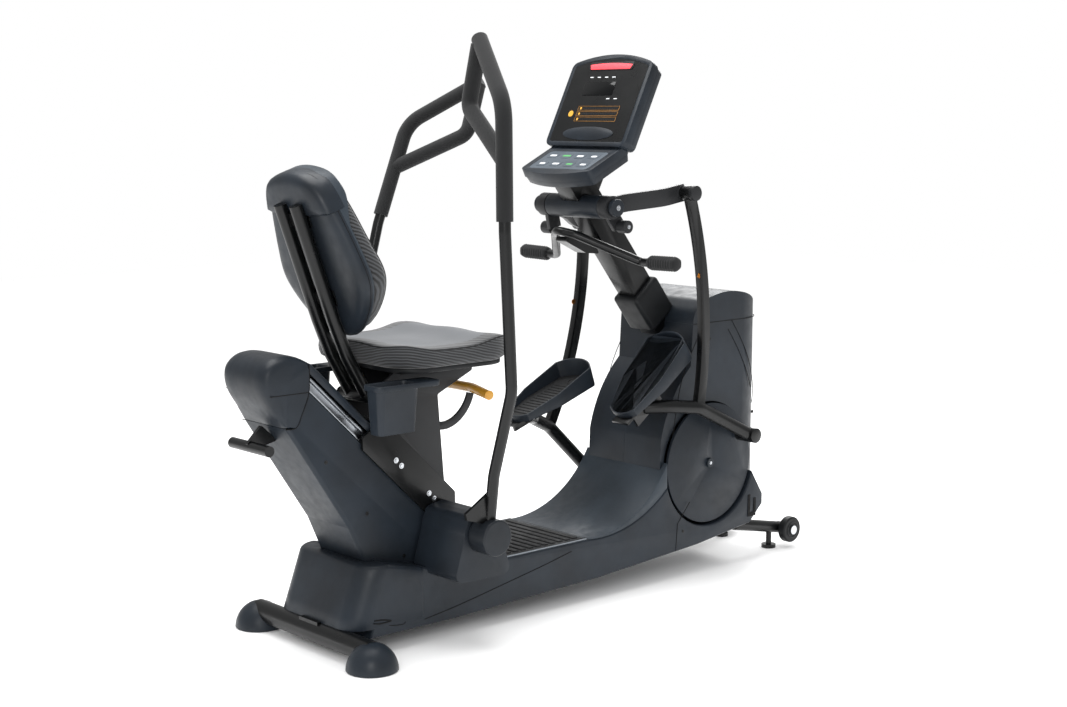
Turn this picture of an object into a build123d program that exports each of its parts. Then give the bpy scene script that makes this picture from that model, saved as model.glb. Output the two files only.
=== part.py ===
from build123d import *
import math
import os

# Seated elliptical trainer with moving arms and swinging foot plates.
# All sizes are millimetres. While modelling, x runs forward from the rear stabiliser tube,
# y runs to the user's left and z runs up from the floor. write() moves each part so that
# the finished model stands on its origin with the middle of its length at x = 0.

# ---------------------------------------------------------------- driving dimensions
ON_TOP = (Align.CENTER, Align.CENTER, Align.MIN)   # boxes that stand on their reference plane
BELOW = (Align.CENTER, Align.CENTER, Align.MAX)    # boxes that hang under it
MID_X = 732.1                 # rear stabiliser tube to the middle of the machine

FOOT_Y = 235.0                # half spacing of the rear feet
FOOT_R = 62.0
STABILISER_R = 27.0
STABILISER_Z = 42.0

BASE_HALF = 160.0             # half width of the base covers
SHELL = 3.5                   # wall of the moulded covers
BEAM_HALF = 40.0
BEAM_LOW, BEAM_HIGH = 72.0, 130.0
STEP_Z = 166.0                # top of the step-through mat
STEP_X = (430.0, 760.0)

CRANK = (1232.0, 308.0)       # crank axle, (x, z)
CRANK_R = 134.0               # axle to crank pin
CRANK_ANGLE = 32.5            # right-hand crank above the horizontal, degrees
DISC_R = 168.0
DISC_Y = (144.0, 153.0)
AXLE_R = 12.5
PULLEY_R = 135.0
BELT_Y = (41.0, 53.0)
FLYWHEEL = (1335.0, 560.0)
FLYWHEEL_R = 112.0
SMALL_PULLEY_R = 28.0

PIVOT = (870.0, 1030.0)       # upper rocker pivot, (x, z)
ROCKER = 218.0                # pivot to link pin
LINK_PIN = (1085.0, 1064.0)   # right-hand link pin at rest
KNEE = (1132.0, 482.0)        # where the link meets the pedal arm
LINK_Y = 200.0
LINK_DEEP, LINK_THICK = 30.0, 18.0
ROCKER_SWING = 25.9           # right-hand rest pose to left-hand rest pose
COUPLER_SWING = 17.6

ARM_PIVOT = (300.0, 280.0)    # handle arm axle, (x, z)
ARM_SWING = 21.1
ARM_Y = (274.0, 334.0)        # hub, from the base pod outwards
ARM_R = 14.0
FOAM_R = 19.5

HOUSING_HALF = 140.0

RAIL_LOW = (327.0, 288.0)     # seat rail centre line at its lower end
RAIL_ANGLE = 43.8             # climbs to the rear
RAIL_LENGTH = 560.0

RUN = 0.05                    # radial clearance of a running fit
GAP = 1.0                     # clearance between moving neighbours


# ---------------------------------------------------------------- helpers
def side_plane(y):
    """Sketch plane across the machine: local x is X, local y is Z, normal is -Y."""
    return Plane(origin=(0, y, 0), x_dir=(1, 0, 0), z_dir=(0, -1, 0))


def slab(sketch, y_low, y_high):
    """Side-view sketch made solid between two stations across the machine."""
    return extrude(side_plane(y_high) * sketch, y_high - y_low)


def outline(points, radius=0.0):
    """Closed polygon in the side view with every corner rounded by one radius."""
    face = make_face(Polyline(*points, close=True))
    return fillet(face.vertices(), radius) if radius else face


def rod(centre, y_low, y_high, radius, bore=0.0):
    """Round bar or ring along Y."""
    disc = Circle(radius) - Circle(bore) if bore else Circle(radius)
    return slab(Pos(*centre) * disc, y_low, y_high)


def tube(points, radius, bend, wall=0.0):
    """Round tube along straight runs joined by tangent arcs."""
    path = FilletPolyline(*points, radius=bend) if bend else Polyline(*points)
    start = Plane(origin=path @ 0, z_dir=path % 0)
    section = Circle(radius) - Circle(radius - wall) if wall else Circle(radius)
    return sweep(start * section, path=path)


def bar(points, width, y_low, y_high):
    """Flat bar that follows a smooth line in the side view, with rounded ends."""
    path = Spline(*points) if len(points) > 2 else Line(*points)
    return slab(trace(path, width), y_low, y_high)


def mirrored(shape):
    return mirror(shape, about=Plane.XZ)


def turned(shape, centre, degrees):
    """Turn about a cross axis; a positive angle tips the top forward."""
    return shape.rotate(Axis((centre[0], 0, centre[1]), (0, 1, 0)), degrees)


def tilted(x, z, degrees, y=0.0):
    """Frame at (x, z) whose local x climbs by the angle in the side view."""
    return Location((x, y, z), (0, -degrees, 0))


def write(name, *shapes):
    """Save one node. Several shapes in a node stay separate solids."""
    solids = [solid for shape in shapes for solid in shape.solids()]
    body = solids[0] if len(solids) == 1 else Compound(solids)
    export_step(Pos(-MID_X, 0, 0) * body, f"parts/{name}.step")


# ---------------------------------------------------------------- frame and base
OUTRIGGER_Y = (112.0, 120.0)  # plates that carry the arm stubs, outside the seat carriage


def base_beam():
    """Welded frame: floor beam, drive plates, and a stub axle for each handle arm."""
    middle = (BEAM_LOW + BEAM_HIGH) / 2
    beam = Pos(705, 0, middle) * Box(1350, 2 * BEAM_HALF, BEAM_HIGH - BEAM_LOW)
    beam -= Pos(705, 0, middle) * Box(1400, 2 * BEAM_HALF - 8, BEAM_HIGH - BEAM_LOW - 8)
    plate = outline([(1130, 118), (1380, 118), (1440, 220), (1440, 600), (1290, 600), (1150, 400)], 20)
    bracket = outline([(250, 82), (350, 82), (322, 304), (278, 304)], 12)
    for side in (-1, 1):
        low, high = sorted((side * 70, side * 78))
        cheek = slab(plate, low, high)
        cheek -= rod(CRANK, low - 1, high + 1, 26)
        cheek -= rod(FLYWHEEL, low - 1, high + 1, 10 + RUN)
        beam += cheek + Pos(1255, side * 57, 124) * Box(240, 34, 12)
        low, high = sorted((side * OUTRIGGER_Y[0], side * OUTRIGGER_Y[1]))
        beam += slab(bracket, low, high) + Pos(300, side * 76, 94) * Box(80, 80, 24)
        low, high = sorted((side * OUTRIGGER_Y[0], side * (ARM_Y[1] - 12)))
        beam += rod(ARM_PIVOT, low, high, 15)
    return beam


def rear_stabiliser():
    across = Pos(0, 0, STABILISER_Z) * Rot(90, 0, 0) * Cylinder(STABILISER_R, 2 * FOOT_Y)
    saddle = Pos(12, 0, (STABILISER_Z + BEAM_LOW) / 2) * Box(56, 76, BEAM_LOW - STABILISER_Z)
    return across + saddle


def rear_foot():
    """Domed cap over the end of the stabiliser, flat on the floor."""
    dome = Pos(0, -FOOT_Y, 0) * scale(Sphere(1), (FOOT_R, FOOT_R, 66))
    dome &= Pos(0, -FOOT_Y, 50) * Box(200, 200, 100)
    dome = fillet(dome.edges().group_by(Axis.Z)[0], 4)
    return dome - Pos(0, 0, STABILISER_Z) * Rot(90, 0, 0) * Cylinder(STABILISER_R, 2 * FOOT_Y)


WHEEL = (1612.0, 52.0)        # transport wheel axle, (x, z)
WHEEL_Y = (116.0, 141.0)
LEG_Y = 98.0


def front_legs(radius):
    legs = Pos(1405, 0, 94) * Rot(90, 0, 0) * Cylinder(radius, 2 * LEG_Y)
    for side in (-1, 1):
        legs += tube([(1405, side * LEG_Y, 94), (*WHEEL[:1], side * LEG_Y, WHEEL[1])], radius, 0)
        legs += Pos(1405, side * LEG_Y, 94) * Sphere(radius)
    return legs


def front_stabiliser():
    """Cross tube under the drive end with two legs that carry the transport wheels."""
    frame = front_legs(17) + Pos(1380, 0, 94) * Box(60, 2 * BEAM_HALF, 40)
    for side in (-1, 1):
        low, high = sorted((side * (LEG_Y - 14), side * (WHEEL_Y[0] - GAP)))
        frame += rod(WHEEL, low, high, 17)
    return frame - Pos(680, 0, 101) * Box(1400, 2 * BEAM_HALF + 1, 60)


def levelling_foot(side):
    """Screw foot under each front leg, just behind its wheel."""
    screw = Cylinder(21, 10, align=ON_TOP) + Cylinder(8, 60, align=ON_TOP)
    foot = Pos(1560, side * (LEG_Y - 4), 0) * screw
    return foot - front_legs(17)


def wheel():
    low, high = -WHEEL_Y[1], -WHEEL_Y[0]
    tyre = rod(WHEEL, low, high, 38, 8 + RUN)
    return fillet(tyre.edges().filter_by(GeomType.CIRCLE).group_by(SortBy.RADIUS)[-1], 5)


def wheel_bolt():
    bolt = rod(WHEEL, -WHEEL_Y[1] - GAP, -WHEEL_Y[0] + GAP, 8)
    return bolt + rod(WHEEL, -WHEEL_Y[1] - 6, -WHEEL_Y[1] - GAP, 13)


BASE_LINE = [(52, 45), (300, 45), (800, 58), (1180, 84), (1400, 112), (1452, 160), (1452, 190)]


def base_profile():
    """Side view of the base covers: low at the step, rising under the drive end."""
    low = Polyline(*BASE_LINE)
    climb = Polyline((1452, 190), (1405, 262))
    dip = ThreePointArc((1405, 262), (1232, 132), (1059, 262))
    sweep_up = ThreePointArc((1059, 262), (930, 186), (STEP_X[1] + 4, STEP_Z))
    flat = Line((STEP_X[1] + 4, STEP_Z), (STEP_X[0] - 6, STEP_Z))
    crown = ThreePointArc((STEP_X[0] - 6, STEP_Z), (270, 180), (108, 216))
    back = Line((108, 216), (52, 45))
    return make_face(low + climb + dip + sweep_up + flat + crown + back)


def base_cover():
    """Right-hand half of the base shell with the pod that reaches out to the arm hub."""
    profile = base_profile()
    shell = slab(profile, -BASE_HALF, -0.2)
    shell = chamfer(shell.edges().filter_by(Plane.XZ).group_by(Axis.Y)[0], 3)
    shell -= slab(offset(profile, -SHELL), -BASE_HALF + SHELL, 1)
    pod = slab(outline([(215, 170), (395, 168), (352, 300), (322, 336), (262, 326)], 20),
               -ARM_Y[0] + GAP, -OUTRIGGER_Y[0] + 4)
    pod += rod(ARM_PIVOT, -ARM_Y[0] + GAP, -OUTRIGGER_Y[0] + 4, 52)
    shell += pod - Pos(300, -110, 100) * Box(300, 98, 150)
    room = slab(outline([(244, 76), (356, 76), (330, 312), (270, 312)], 8), -OUTRIGGER_Y[1] - 1, 0)
    shell -= room + rod(ARM_PIVOT, -ARM_Y[0], 0, 15.2)
    shell -= Pos(720, 0, 86) * Box(1560, 2 * BEAM_HALF + 1, 90)
    shell -= slab(tower_profile(-0.8), -93, 93)
    shell -= Pos(1272, 0, 240) * Box(344, 190, 240)
    return shell - front_legs(18) - drive_body(0.3)


def step_mat():
    """Ribbed mat over the step-through, in a bright trim frame."""
    length = STEP_X[1] - STEP_X[0]
    centre = Pos(sum(STEP_X) / 2, 0, STEP_Z)
    trim = centre * Box(length, 2 * BASE_HALF - 14, 5, align=ON_TOP)
    trim -= centre * Box(length - 10, 2 * BASE_HALF - 24, 5, align=ON_TOP)
    mat = centre * Box(length - 10, 2 * BASE_HALF - 24, 4, align=ON_TOP)
    ribs = [Pos(STEP_X[0] + 25 + 25.5 * i, 0, STEP_Z + 4) * Box(15, 2 * BASE_HALF - 50, 3, align=ON_TOP)
            for i in range(12)]
    for rib in ribs:
        mat += rib
    return trim, mat


def footwell_cover():
    """Concave sweep from the step up to the rounded rear of the drive housing."""
    top = ThreePointArc((STEP_X[1] + 6, STEP_Z + 1), (945, 214), (1058, 330))
    bottom = Polyline((1058, 330), (1058, 262.5))
    under = ThreePointArc((1058, 262.5), (930, 187), (STEP_X[1] + 6, STEP_Z + 1))
    block = slab(make_face(top + bottom + under), -BASE_HALF + 2, BASE_HALF - 2)
    return block - drive_body(0.5)


def drive_body(margin=0.0):
    """Outer form of the drive housing before it is hollowed and split."""
    rear = Line((1045, 262.5), (1050, 390))
    lean = ThreePointArc((1050, 390), (1088, 490), (1165, 585))
    neck = Line((1165, 585), (1172, 700))
    shoulder = ThreePointArc((1172, 700), (1190, 745), (1232, 768))
    crown = ThreePointArc((1232, 768), (1350, 780), (1488, 724))
    face = ThreePointArc((1488, 724), (1502, 470), (1476, 191))
    lower = Polyline((1476, 191), (1452.5, 191), (1404.5, 262.5), (1045, 262.5))
    view = make_face(rear + lean + neck + shoulder + crown + face + lower)
    if margin:
        view = offset(view, margin)
    half = HOUSING_HALF + margin
    sides = Polyline((1380, half), (1000, half), (1000, -half), (1380, -half))
    bow = ThreePointArc((1380, -half), (1506 + margin, 0), (1380, half))
    return extrude(Pos(0, 0, 120) * make_face(sides + bow), 700) & slab(view, -200, 200)


CAP_LINE = 700.0


def drive_shell():
    shell = drive_body()
    core = drive_body(-SHELL)
    shell -= core
    shell -= Pos(1282, 0, 225) * Box(334, 2 * HOUSING_HALF - 60, 110)
    return shell - rod(CRANK, -200, 200, DISC_R + 4) - mast_solid(1.0)


def drive_cover():
    """Right half of the housing, below the top cap."""
    window = Pos(1270, -110, CAP_LINE / 2) * Box(700, 219.6, CAP_LINE - 0.4)
    return drive_shell() & window


def drive_top_cap():
    return drive_shell() & Pos(1270, 0, CAP_LINE + 100) * Box(700, 400, 200)


# ---------------------------------------------------------------- mast and console
MAST_FOOT, MAST_TOP = (1116.0, 761.0), (844.0, 1103.0)
MAST_LEAN = math.degrees(math.atan2(MAST_FOOT[0] - MAST_TOP[0], MAST_TOP[1] - MAST_FOOT[1]))


def mast_solid(margin=0.0, longer=0.0):
    """Leaning rectangular post, grown all round by a margin."""
    length = math.dist(MAST_FOOT, MAST_TOP)
    middle = ((MAST_FOOT[0] + MAST_TOP[0]) / 2, (MAST_FOOT[1] + MAST_TOP[1]) / 2)
    post = Location((middle[0], 0, middle[1]), (0, -MAST_LEAN, 0)) * Box(
        76 + 2 * margin, 62 + 2 * margin, length + 190 + longer)
    return post


def mast():
    post = mast_solid() - mast_solid(-4, 10)
    post += Pos(1195, 0, 425) * Box(36, 56, 590)
    post -= console_blank(-44, 60)
    post += mast_head()
    return post - rod(PIVOT, -60, 60, 31)


def mast_head(margin=0.0):
    """Bracket that carries the console, from the top of the post."""
    half = 26 + margin
    wedge = slab(outline([(850, 1085), (905, 1040), (985, 1190), (960, 1215), (862, 1130)], 5), -half, half)
    return wedge - console_blank(-44, 60)


def mast_boot():
    """Rubber collar where the mast leaves the housing."""
    middle = (1120, 752)
    collar = Location((middle[0], 0, middle[1]), (0, -MAST_LEAN, 0)) * Box(106, 94, 120)
    collar = fillet(collar.edges().filter_by(GeomType.LINE), 12)
    return collar - mast_solid(0.2) - drive_body(0.2) - drive_body(-SHELL)


def pivot_tube():
    ring = rod(PIVOT, -100, 100, 31, 15)
    return fillet(ring.edges().filter_by(GeomType.CIRCLE).group_by(SortBy.RADIUS)[-1], 2)


def pivot_shaft():
    shaft = rod(PIVOT, -136, 136, 15 - RUN)
    for side in (-1, 1):
        knob = rod(PIVOT, min(side * 136, side * 152), max(side * 136, side * 152), 23)
        knob = fillet(knob.edges().filter_by(GeomType.CIRCLE), 3)
        shaft += knob
    return shaft


BAR_HALF = [(800, 0, 966), (822, -38, 958), (944, -165, 886), (940, -298, 889)]


def handlebar():
    """Fixed bar: a V that comes to its point above the seat side of the mast."""
    other = [(x, -y, z) for x, y, z in BAR_HALF[1:]]
    hoop = tube(BAR_HALF[:0:-1] + [(796, 0, 968)] + other, 11.5, 22)
    plate = slab(outline([(806, 940), (812, 952), (915, 925), (930, 900), (880, 905)], 4), -20, 20)
    return hoop + (plate - mast_solid())


def handlebar_grip():
    start, end = Vector(*BAR_HALF[2]), Vector(*BAR_HALF[3])
    run = (end - start).normalized()
    near, far = start + run * 30, end + run * 2
    grip = tube([tuple(near), tuple(far)], 19, 0)
    return grip - tube([tuple(start), tuple(end)], 11.5, 0)


# ---------------------------------------------------------------- console
CONSOLE_TILT = 63.6


SHELF_TILT = 26.0
SHELF_EDGE = (772.0, 1122.0)  # front lower edge of the keypad shelf


def console_frame():
    """Location on the lower edge of the display face, local x up the face, z out of it."""
    return tilted(900, 1215, CONSOLE_TILT)


def console_outline(margin=0.0):
    """Display head: straight sides and an arched top edge."""
    half, top_edge, low_edge = 152 + margin, 214 + margin, -30.0
    top = ThreePointArc((top_edge, -half), (top_edge + 26, 0), (top_edge, half))
    sides = Polyline((top_edge, half), (low_edge, half), (low_edge, -half), (top_edge, -half))
    return fillet(make_face(top + sides).vertices(), 20)


def shelf_frame():
    return tilted(*SHELF_EDGE, SHELF_TILT)


def shelf_plan(margin=0.0):
    """Keypad shelf: bowed front edge, straight sides running under the head."""
    half = 134 + margin
    bow = ThreePointArc((14 - margin, -half), (-10 - margin, 0), (14 - margin, half))
    sides = Polyline((14 - margin, half), (165, half), (165, -half), (14 - margin, -half))
    return fillet(make_face(bow + sides).vertices(), 16)


def console_blank(low, high, margin=0.0):
    """Head and shelf together, from one depth to another below their faces."""
    head = console_frame() * extrude(Pos(0, 0, low) * console_outline(margin), high - low)
    shelf = shelf_frame() * extrude(Pos(0, 0, low) * shelf_plan(margin), high - low)
    return head + shelf


def console_front_shell():
    """Front moulding with recesses for the display panel and the keypad."""
    shell = console_blank(-24, 0)
    shell -= console_frame() * extrude(Pos(0, 0, -3) * offset(console_outline(), -13), 10)
    shell -= shelf_frame() * extrude(Pos(0, 0, -3) * keypad_plan(), 10)
    shell -= console_frame() * Pos(100, 0, -24) * Box(190, 260, 18, align=ON_TOP)
    return shell


def keypad_plan():
    return Pos(68, 0) * RectangleRounded(98, 226, 14)


def console_rear_shell():
    """Rear moulding: a rounded tub behind the head and under the shelf."""
    tub = console_frame() * extrude(Pos(0, 0, -24) * console_outline(-2), -26, taper=14)
    tub += shelf_frame() * extrude(Pos(0, 0, -24) * shelf_plan(-2), -20, taper=14)
    tub -= console_frame() * Pos(100, 0, -24) * Box(170, 230, 18, align=BELOW)
    return tub - console_blank(-24, 60) - mast_head(0.2)


def console_panel():
    """Printed display panel with its light bar and window, flush in the head."""
    panel = console_frame() * extrude(Pos(0, 0, -3) * offset(console_outline(), -13.4), 3)
    panel -= shelf_frame() * extrude(Pos(0, 0, -60) * shelf_plan(1), 62)
    return panel


def console_keypad():
    pad = shelf_frame() * extrude(Pos(0, 0, -3) * offset(keypad_plan(), -0.4), 2.4)
    keys = [shelf_frame() * Pos(x, y, -0.6) * extrude(RectangleRounded(24, 36, 6), 1)
            for x in (45, 90) for y in (-78, -26, 26, 78)]
    for key in keys:
        pad += key
    return pad


# ---------------------------------------------------------------- rockers and foot links
def rocker():
    """Right-hand upper arm: flat on the pivot, bent outwards to the link pin."""
    lean = math.degrees(math.atan2(LINK_PIN[1] - PIVOT[1], LINK_PIN[0] - PIVOT[0]))
    thick = 12.0
    inner = FilletPolyline((0, -110), (60, -110), (150, -172), (ROCKER + 6, -172), radius=60)
    strip = trace(inner, thick)
    blade = extrude(Pos(0, 0, -23) * strip, 46)
    blade = tilted(*PIVOT, lean) * blade
    hub = rod(PIVOT, -133, -101 - GAP, 31)
    lobe = bar([PIVOT, (911, 979)], 40, -116, -104)
    knob = fillet(rod((911, 979), -150, -116, 17).edges().filter_by(GeomType.CIRCLE).group_by(Axis.Y)[0], 3)
    boss = rod(LINK_PIN, -182, -162, 21)
    pin = rod(LINK_PIN, -216, -182, 10) + rod(LINK_PIN, -228, -216, 20)
    arm = blade + hub + lobe + knob + boss + pin
    return arm - rod(PIVOT, -160, -90, 15)


def foot_link():
    """Right-hand welded coupler: curved link, pedal arm, knee gussets and crank-pin sleeve."""
    spine = ThreePointArc(LINK_PIN, (1149, 720), KNEE)
    half = LINK_THICK / 2
    link = slab(trace(spine, LINK_DEEP), -LINK_Y - half, -LINK_Y + half)
    link += rod(LINK_PIN, -215, -183, 20)
    pin = crank_pin(CRANK_ANGLE)
    arm = tube([(pin[0], -LINK_Y, pin[1]), (KNEE[0], -LINK_Y, KNEE[1]), (1040, -176, 492), (985, -138, 490)],
               18, 60)
    arm += rod(pin, -225, -163, 21)
    plate = pedal_frame() * Pos(80, 65, 0) * Box(190, 60, 7, align=BELOW)
    web = pedal_frame() * Pos(70, 45, 0) * Box(110, 8, 40, align=BELOW)
    body = link + arm + plate + web
    body -= rod(LINK_PIN, -230, -170, 10 + RUN)
    above = pedal_frame() * Pos(160, 75, 100) * Box(600, 260, 200)
    return body - (above & Pos(1000, -110, 600) * Box(600, 152, 600))


def crank_pin(angle):
    return (CRANK[0] + CRANK_R * math.cos(math.radians(angle)),
            CRANK[1] + CRANK_R * math.sin(math.radians(angle)))


PEDAL_HEEL = (921.0, 466.0)
PEDAL_TILT = 36.7
PEDAL_LONG = 285.0
PEDAL_Y = (45.0, 187.0)


def pedal_frame():
    """Right pedal: local x from heel to toe, local z up from its underside, y from its outer wall."""
    return tilted(*PEDAL_HEEL, PEDAL_TILT, -PEDAL_Y[1])


def pedal_plan(margin=0.0):
    wide = PEDAL_Y[1] - PEDAL_Y[0]
    m = margin
    heel = ThreePointArc((18 - m, wide - 24 + m), (0 - m, wide / 2), (18 - m, 24 - m))
    outer = Line((18 - m, 24 - m), (120, 0 - m))
    along = Line((120, 0 - m), (250, 0 - m))
    toe = ThreePointArc((250, 0 - m), (PEDAL_LONG + m, wide / 2), (250, wide + m))
    inner = Polyline((250, wide + m), (120, wide + m), (18 - m, wide - 24 + m))
    return make_face(heel + outer + along + toe + inner)


def pedal():
    """Moulded tray whose rim grows from the heel to the toe."""
    rim = extrude(pedal_plan(), 62)
    rim -= extrude(Pos(0, 0, 6) * pedal_plan(-5), 60)
    wedge = Location((0, 70, 18), (0, -8.5, 0)) * Box(900, 300, 100, align=ON_TOP)
    return pedal_frame() * (rim - wedge)


def tread():
    """Ribbed rubber mat in the tray, with a row of slots and a ring."""
    wide = PEDAL_Y[1] - PEDAL_Y[0]
    mat = extrude(Pos(0, 0, 6) * pedal_plan(-5.4), 4)
    for i in range(13):
        mat += Pos(38 + 14 * i, wide / 2, 10) * Box(8, wide - 62, 2, align=ON_TOP)
    ring = Pos(238, wide / 2, 10) * (Cylinder(19, 2, align=ON_TOP)
                                    - Cylinder(15, 2, align=ON_TOP))
    return pedal_frame() * (mat + ring)


# ---------------------------------------------------------------- handle arms
ARM_LINE = [(300, -304, 322), (297, -322, 430), (281, -405, 640), (252, -416, 1010),
            (251, -414, 1295), (322, -250, 1440)]
LOOP_LINE = [(252, -414, 1170), (309, -222, 1290), (320, -248, 1432)]
FOAM_START = 1034.0


def arm():
    """Right-hand arm: swept tube with its inner loop and the gusset on the hub."""
    main = tube(ARM_LINE, ARM_R, 90, 3)
    loop = tube(LOOP_LINE, ARM_R, 34, 3)
    gusset = slab(outline([(286, 330), (232, 352), (224, 342), (262, 318), (286, 316)], 2), -308, -300)
    gusset += slab(outline([(300, 318), (300, 392), (222, 346), (226, 330), (270, 318)], 2), -309, -301)
    plate = gusset - tube(ARM_LINE, ARM_R, 90)
    solid_main = tube(ARM_LINE, ARM_R, 90)
    arm_body = main + (loop - solid_main) + plate
    return arm_body - rod(ARM_PIVOT, -400, -200, 44)


def arm_foam():
    """Foam sleeve over the upper tube and the loop."""
    above = Pos(300, -300, FOAM_START + 300) * Box(400, 400, 600)
    shoulder, tip = Vector(*ARM_LINE[-2]), Vector(*ARM_LINE[-1])
    end = tip + (tip - shoulder).normalized() * 9
    outer = tube(ARM_LINE[:-1] + [tuple(end)], FOAM_R, 90) & above
    outer = outer + tube(LOOP_LINE, FOAM_R, 34)
    return outer - (tube(ARM_LINE, ARM_R, 90) + tube(LOOP_LINE, ARM_R, 34))


def arm_hub():
    """Moulded hub that turns on the cross axle and holds the foot of the arm."""
    hub = rod(ARM_PIVOT, -ARM_Y[1], -ARM_Y[0], 44)
    hub = fillet(hub.edges().filter_by(GeomType.CIRCLE), 5)
    return hub - rod(ARM_PIVOT, -ARM_Y[1] + 11, -ARM_Y[0] + 1, 15 + RUN)


# ---------------------------------------------------------------- drive
def crank_axle():
    return rod(CRANK, -158, 158, AXLE_R)


def crank_discs():
    """Disc cover and crank boss at each end of the axle."""
    discs = []
    for side, angle in ((-1, CRANK_ANGLE), (1, CRANK_ANGLE + 180)):
        low, high = sorted((side * DISC_Y[0], side * DISC_Y[1]))
        disc = rod(CRANK, low, high, DISC_R, AXLE_R)
        low, high = sorted((side * DISC_Y[1], side * (DISC_Y[1] + 7)))
        disc += rod(crank_pin(angle), low, high, 16)
        discs.append(disc)
    return discs


def crank_pulley():
    wheel_face = rod(CRANK, BELT_Y[0] - 2, BELT_Y[1] + 2, PULLEY_R, AXLE_R)
    for i in range(5):
        hole = turned(rod((CRANK[0] + 80, CRANK[1]), 30, 60, 28), CRANK, 72 * i)
        wheel_face -= hole
    return wheel_face


def drive_belt():
    """Belt round the two pulleys: two arcs joined by tangents, drawn as the hull of two rings."""
    return slab(belt_loop(3.0) - belt_loop(0.4), *BELT_Y)


def belt_loop(margin):
    return make_hull(((Pos(*CRANK) * Circle(PULLEY_R + margin)).edges()
                      + (Pos(*FLYWHEEL) * Circle(SMALL_PULLEY_R + margin)).edges()))


def flywheel():
    wheel_body = rod(FLYWHEEL, -50, -26, FLYWHEEL_R)
    wheel_body += rod(FLYWHEEL, -77, 77, 10)
    wheel_body += rod(FLYWHEEL, BELT_Y[0], BELT_Y[1], SMALL_PULLEY_R)
    return wheel_body


def drive_bearings():
    rings = [rod(CRANK, y, y + 10, 26, AXLE_R + RUN) for y in (-79, 69)]
    return rings


# ---------------------------------------------------------------- seat tower
def rail_point(distance, off=0.0):
    """Point on the seat rail, measured up from its lower end and out from its line."""
    angle = math.radians(RAIL_ANGLE)
    return (RAIL_LOW[0] - distance * math.cos(angle) + off * math.sin(angle),
            RAIL_LOW[1] + distance * math.sin(angle) + off * math.cos(angle))


def along_rail(low, high, width, y_low, y_high, off=0.0):
    """Straight block along the rail, between two distances, centred off its line."""
    half = width / 2
    corners = [rail_point(low, off - half), rail_point(high, off - half),
               rail_point(high, off + half), rail_point(low, off + half)]
    return slab(outline(corners), y_low, y_high)


TOWER_BACK = [(330, 160), (108, 160), (46, 300), (-138, 578), (-186, 640)]
TOWER_HEAD = [(-186, 640), (-184, 700), (-148, 726), (-104, 728)]


def tower_profile(inset=0.0):
    ridge = [rail_point(560, 38), rail_point(-15, 38)]
    points = TOWER_BACK + TOWER_HEAD[1:] + ridge + [(350, 240)]
    face = fillet(make_face(Polyline(*points, close=True)).vertices(), 16)
    return offset(face, -inset) if inset else face


def tower_shell():
    shell = slab(tower_profile(), -92, 92)
    shell = fillet(shell.edges().filter_by(Plane.XZ), 10)
    shell -= slab(tower_profile(SHELL), -88, 88)
    shell -= Pos(220, 0, 150) * Box(196, 176, 40)
    for side in (-1, 1):
        low, high = sorted((side * 60, side * 120))
        shell -= along_rail(-2, 575, 34, low, high)
    return shell


def head_zone():
    return slab(outline([(-230, 560), (-100, 560), (-62, 640), (-62, 790), (-230, 790)], 12), -200, 200)


def tower_cover():
    return tower_shell() - head_zone()


def tower_head_cap():
    head = [(-230, 560.4), (-100.4, 560.4), (-62.4, 640), (-62.4, 790), (-230, 790)]
    return tower_shell() & slab(outline(head, 12),
                                -200, 200)


def tower_post():
    """Steel box under the rails, welded to the floor beam."""
    post = along_rail(40, 555, 52, -62, 62) - along_rail(30, 565, 44, -58, 58)
    side = [(125, BEAM_HIGH), (262, BEAM_HIGH), (262, 330), (120, 480), (60, 420), (125, 330)]
    foot = slab(outline(side), -38, 38)
    return post + foot


def seat_rails():
    rails = []
    for side in (-1, 1):
        low, high = sorted((side * 62, side * 86))
        rail = along_rail(0, RAIL_LENGTH, 26, low, high)
        low, high = sorted((side * 73, side * 90))
        rails.append(rail - along_rail(-5, RAIL_LENGTH + 5, 15, low, high))
    return rails


def lift_handle():
    """T-handle on the back of the tower for rolling the machine on its wheels."""
    stem = slab(outline([(-138, 560), (-95, 520), (-160, 505), (-178, 520)], 4), -5, 5)
    stem -= slab(tower_profile(), -120, 120)
    return stem + tube([(-165, -78, 512), (-165, 78, 512)], 13, 0)


# ---------------------------------------------------------------- seat
PLATE_Y = (96.0, 104.0)       # carriage side plates
BACK_HINGE = (146.0, 600.0)   # recline pivot of the back tubes
SEAT_MIDDLE, SEAT_LONG, SEAT_HALF = 310.0, 366.0, 205.0


def carriage():
    """Saddle over the tower ridge: two side plates and a folded top plate."""
    plate = outline([rail_point(-12, -28), rail_point(318, -28), rail_point(338, -8),
                     rail_point(322, 64), rail_point(20, 64), rail_point(-20, 24)], 8)
    sides = slab(plate, -PLATE_Y[1], -PLATE_Y[0]) + slab(plate, *PLATE_Y)
    top = along_rail(20, 318, 12, -PLATE_Y[0], PLATE_Y[0], 58)
    return sides + top


def carriage_rollers():
    """Rollers in the rail grooves, each on a bolt through its side plate."""
    rollers = []
    for side in (-1, 1):
        for distance in (70, 236):
            centre = rail_point(distance)
            low, high = sorted((side * 74, side * 85))
            roller = rod(centre, low, high, 7.2)
            low, high = sorted((side * 85, side * (PLATE_Y[0] - 0.2)))
            rollers.append(roller + rod(centre, low, high, 4))
    return rollers


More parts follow.
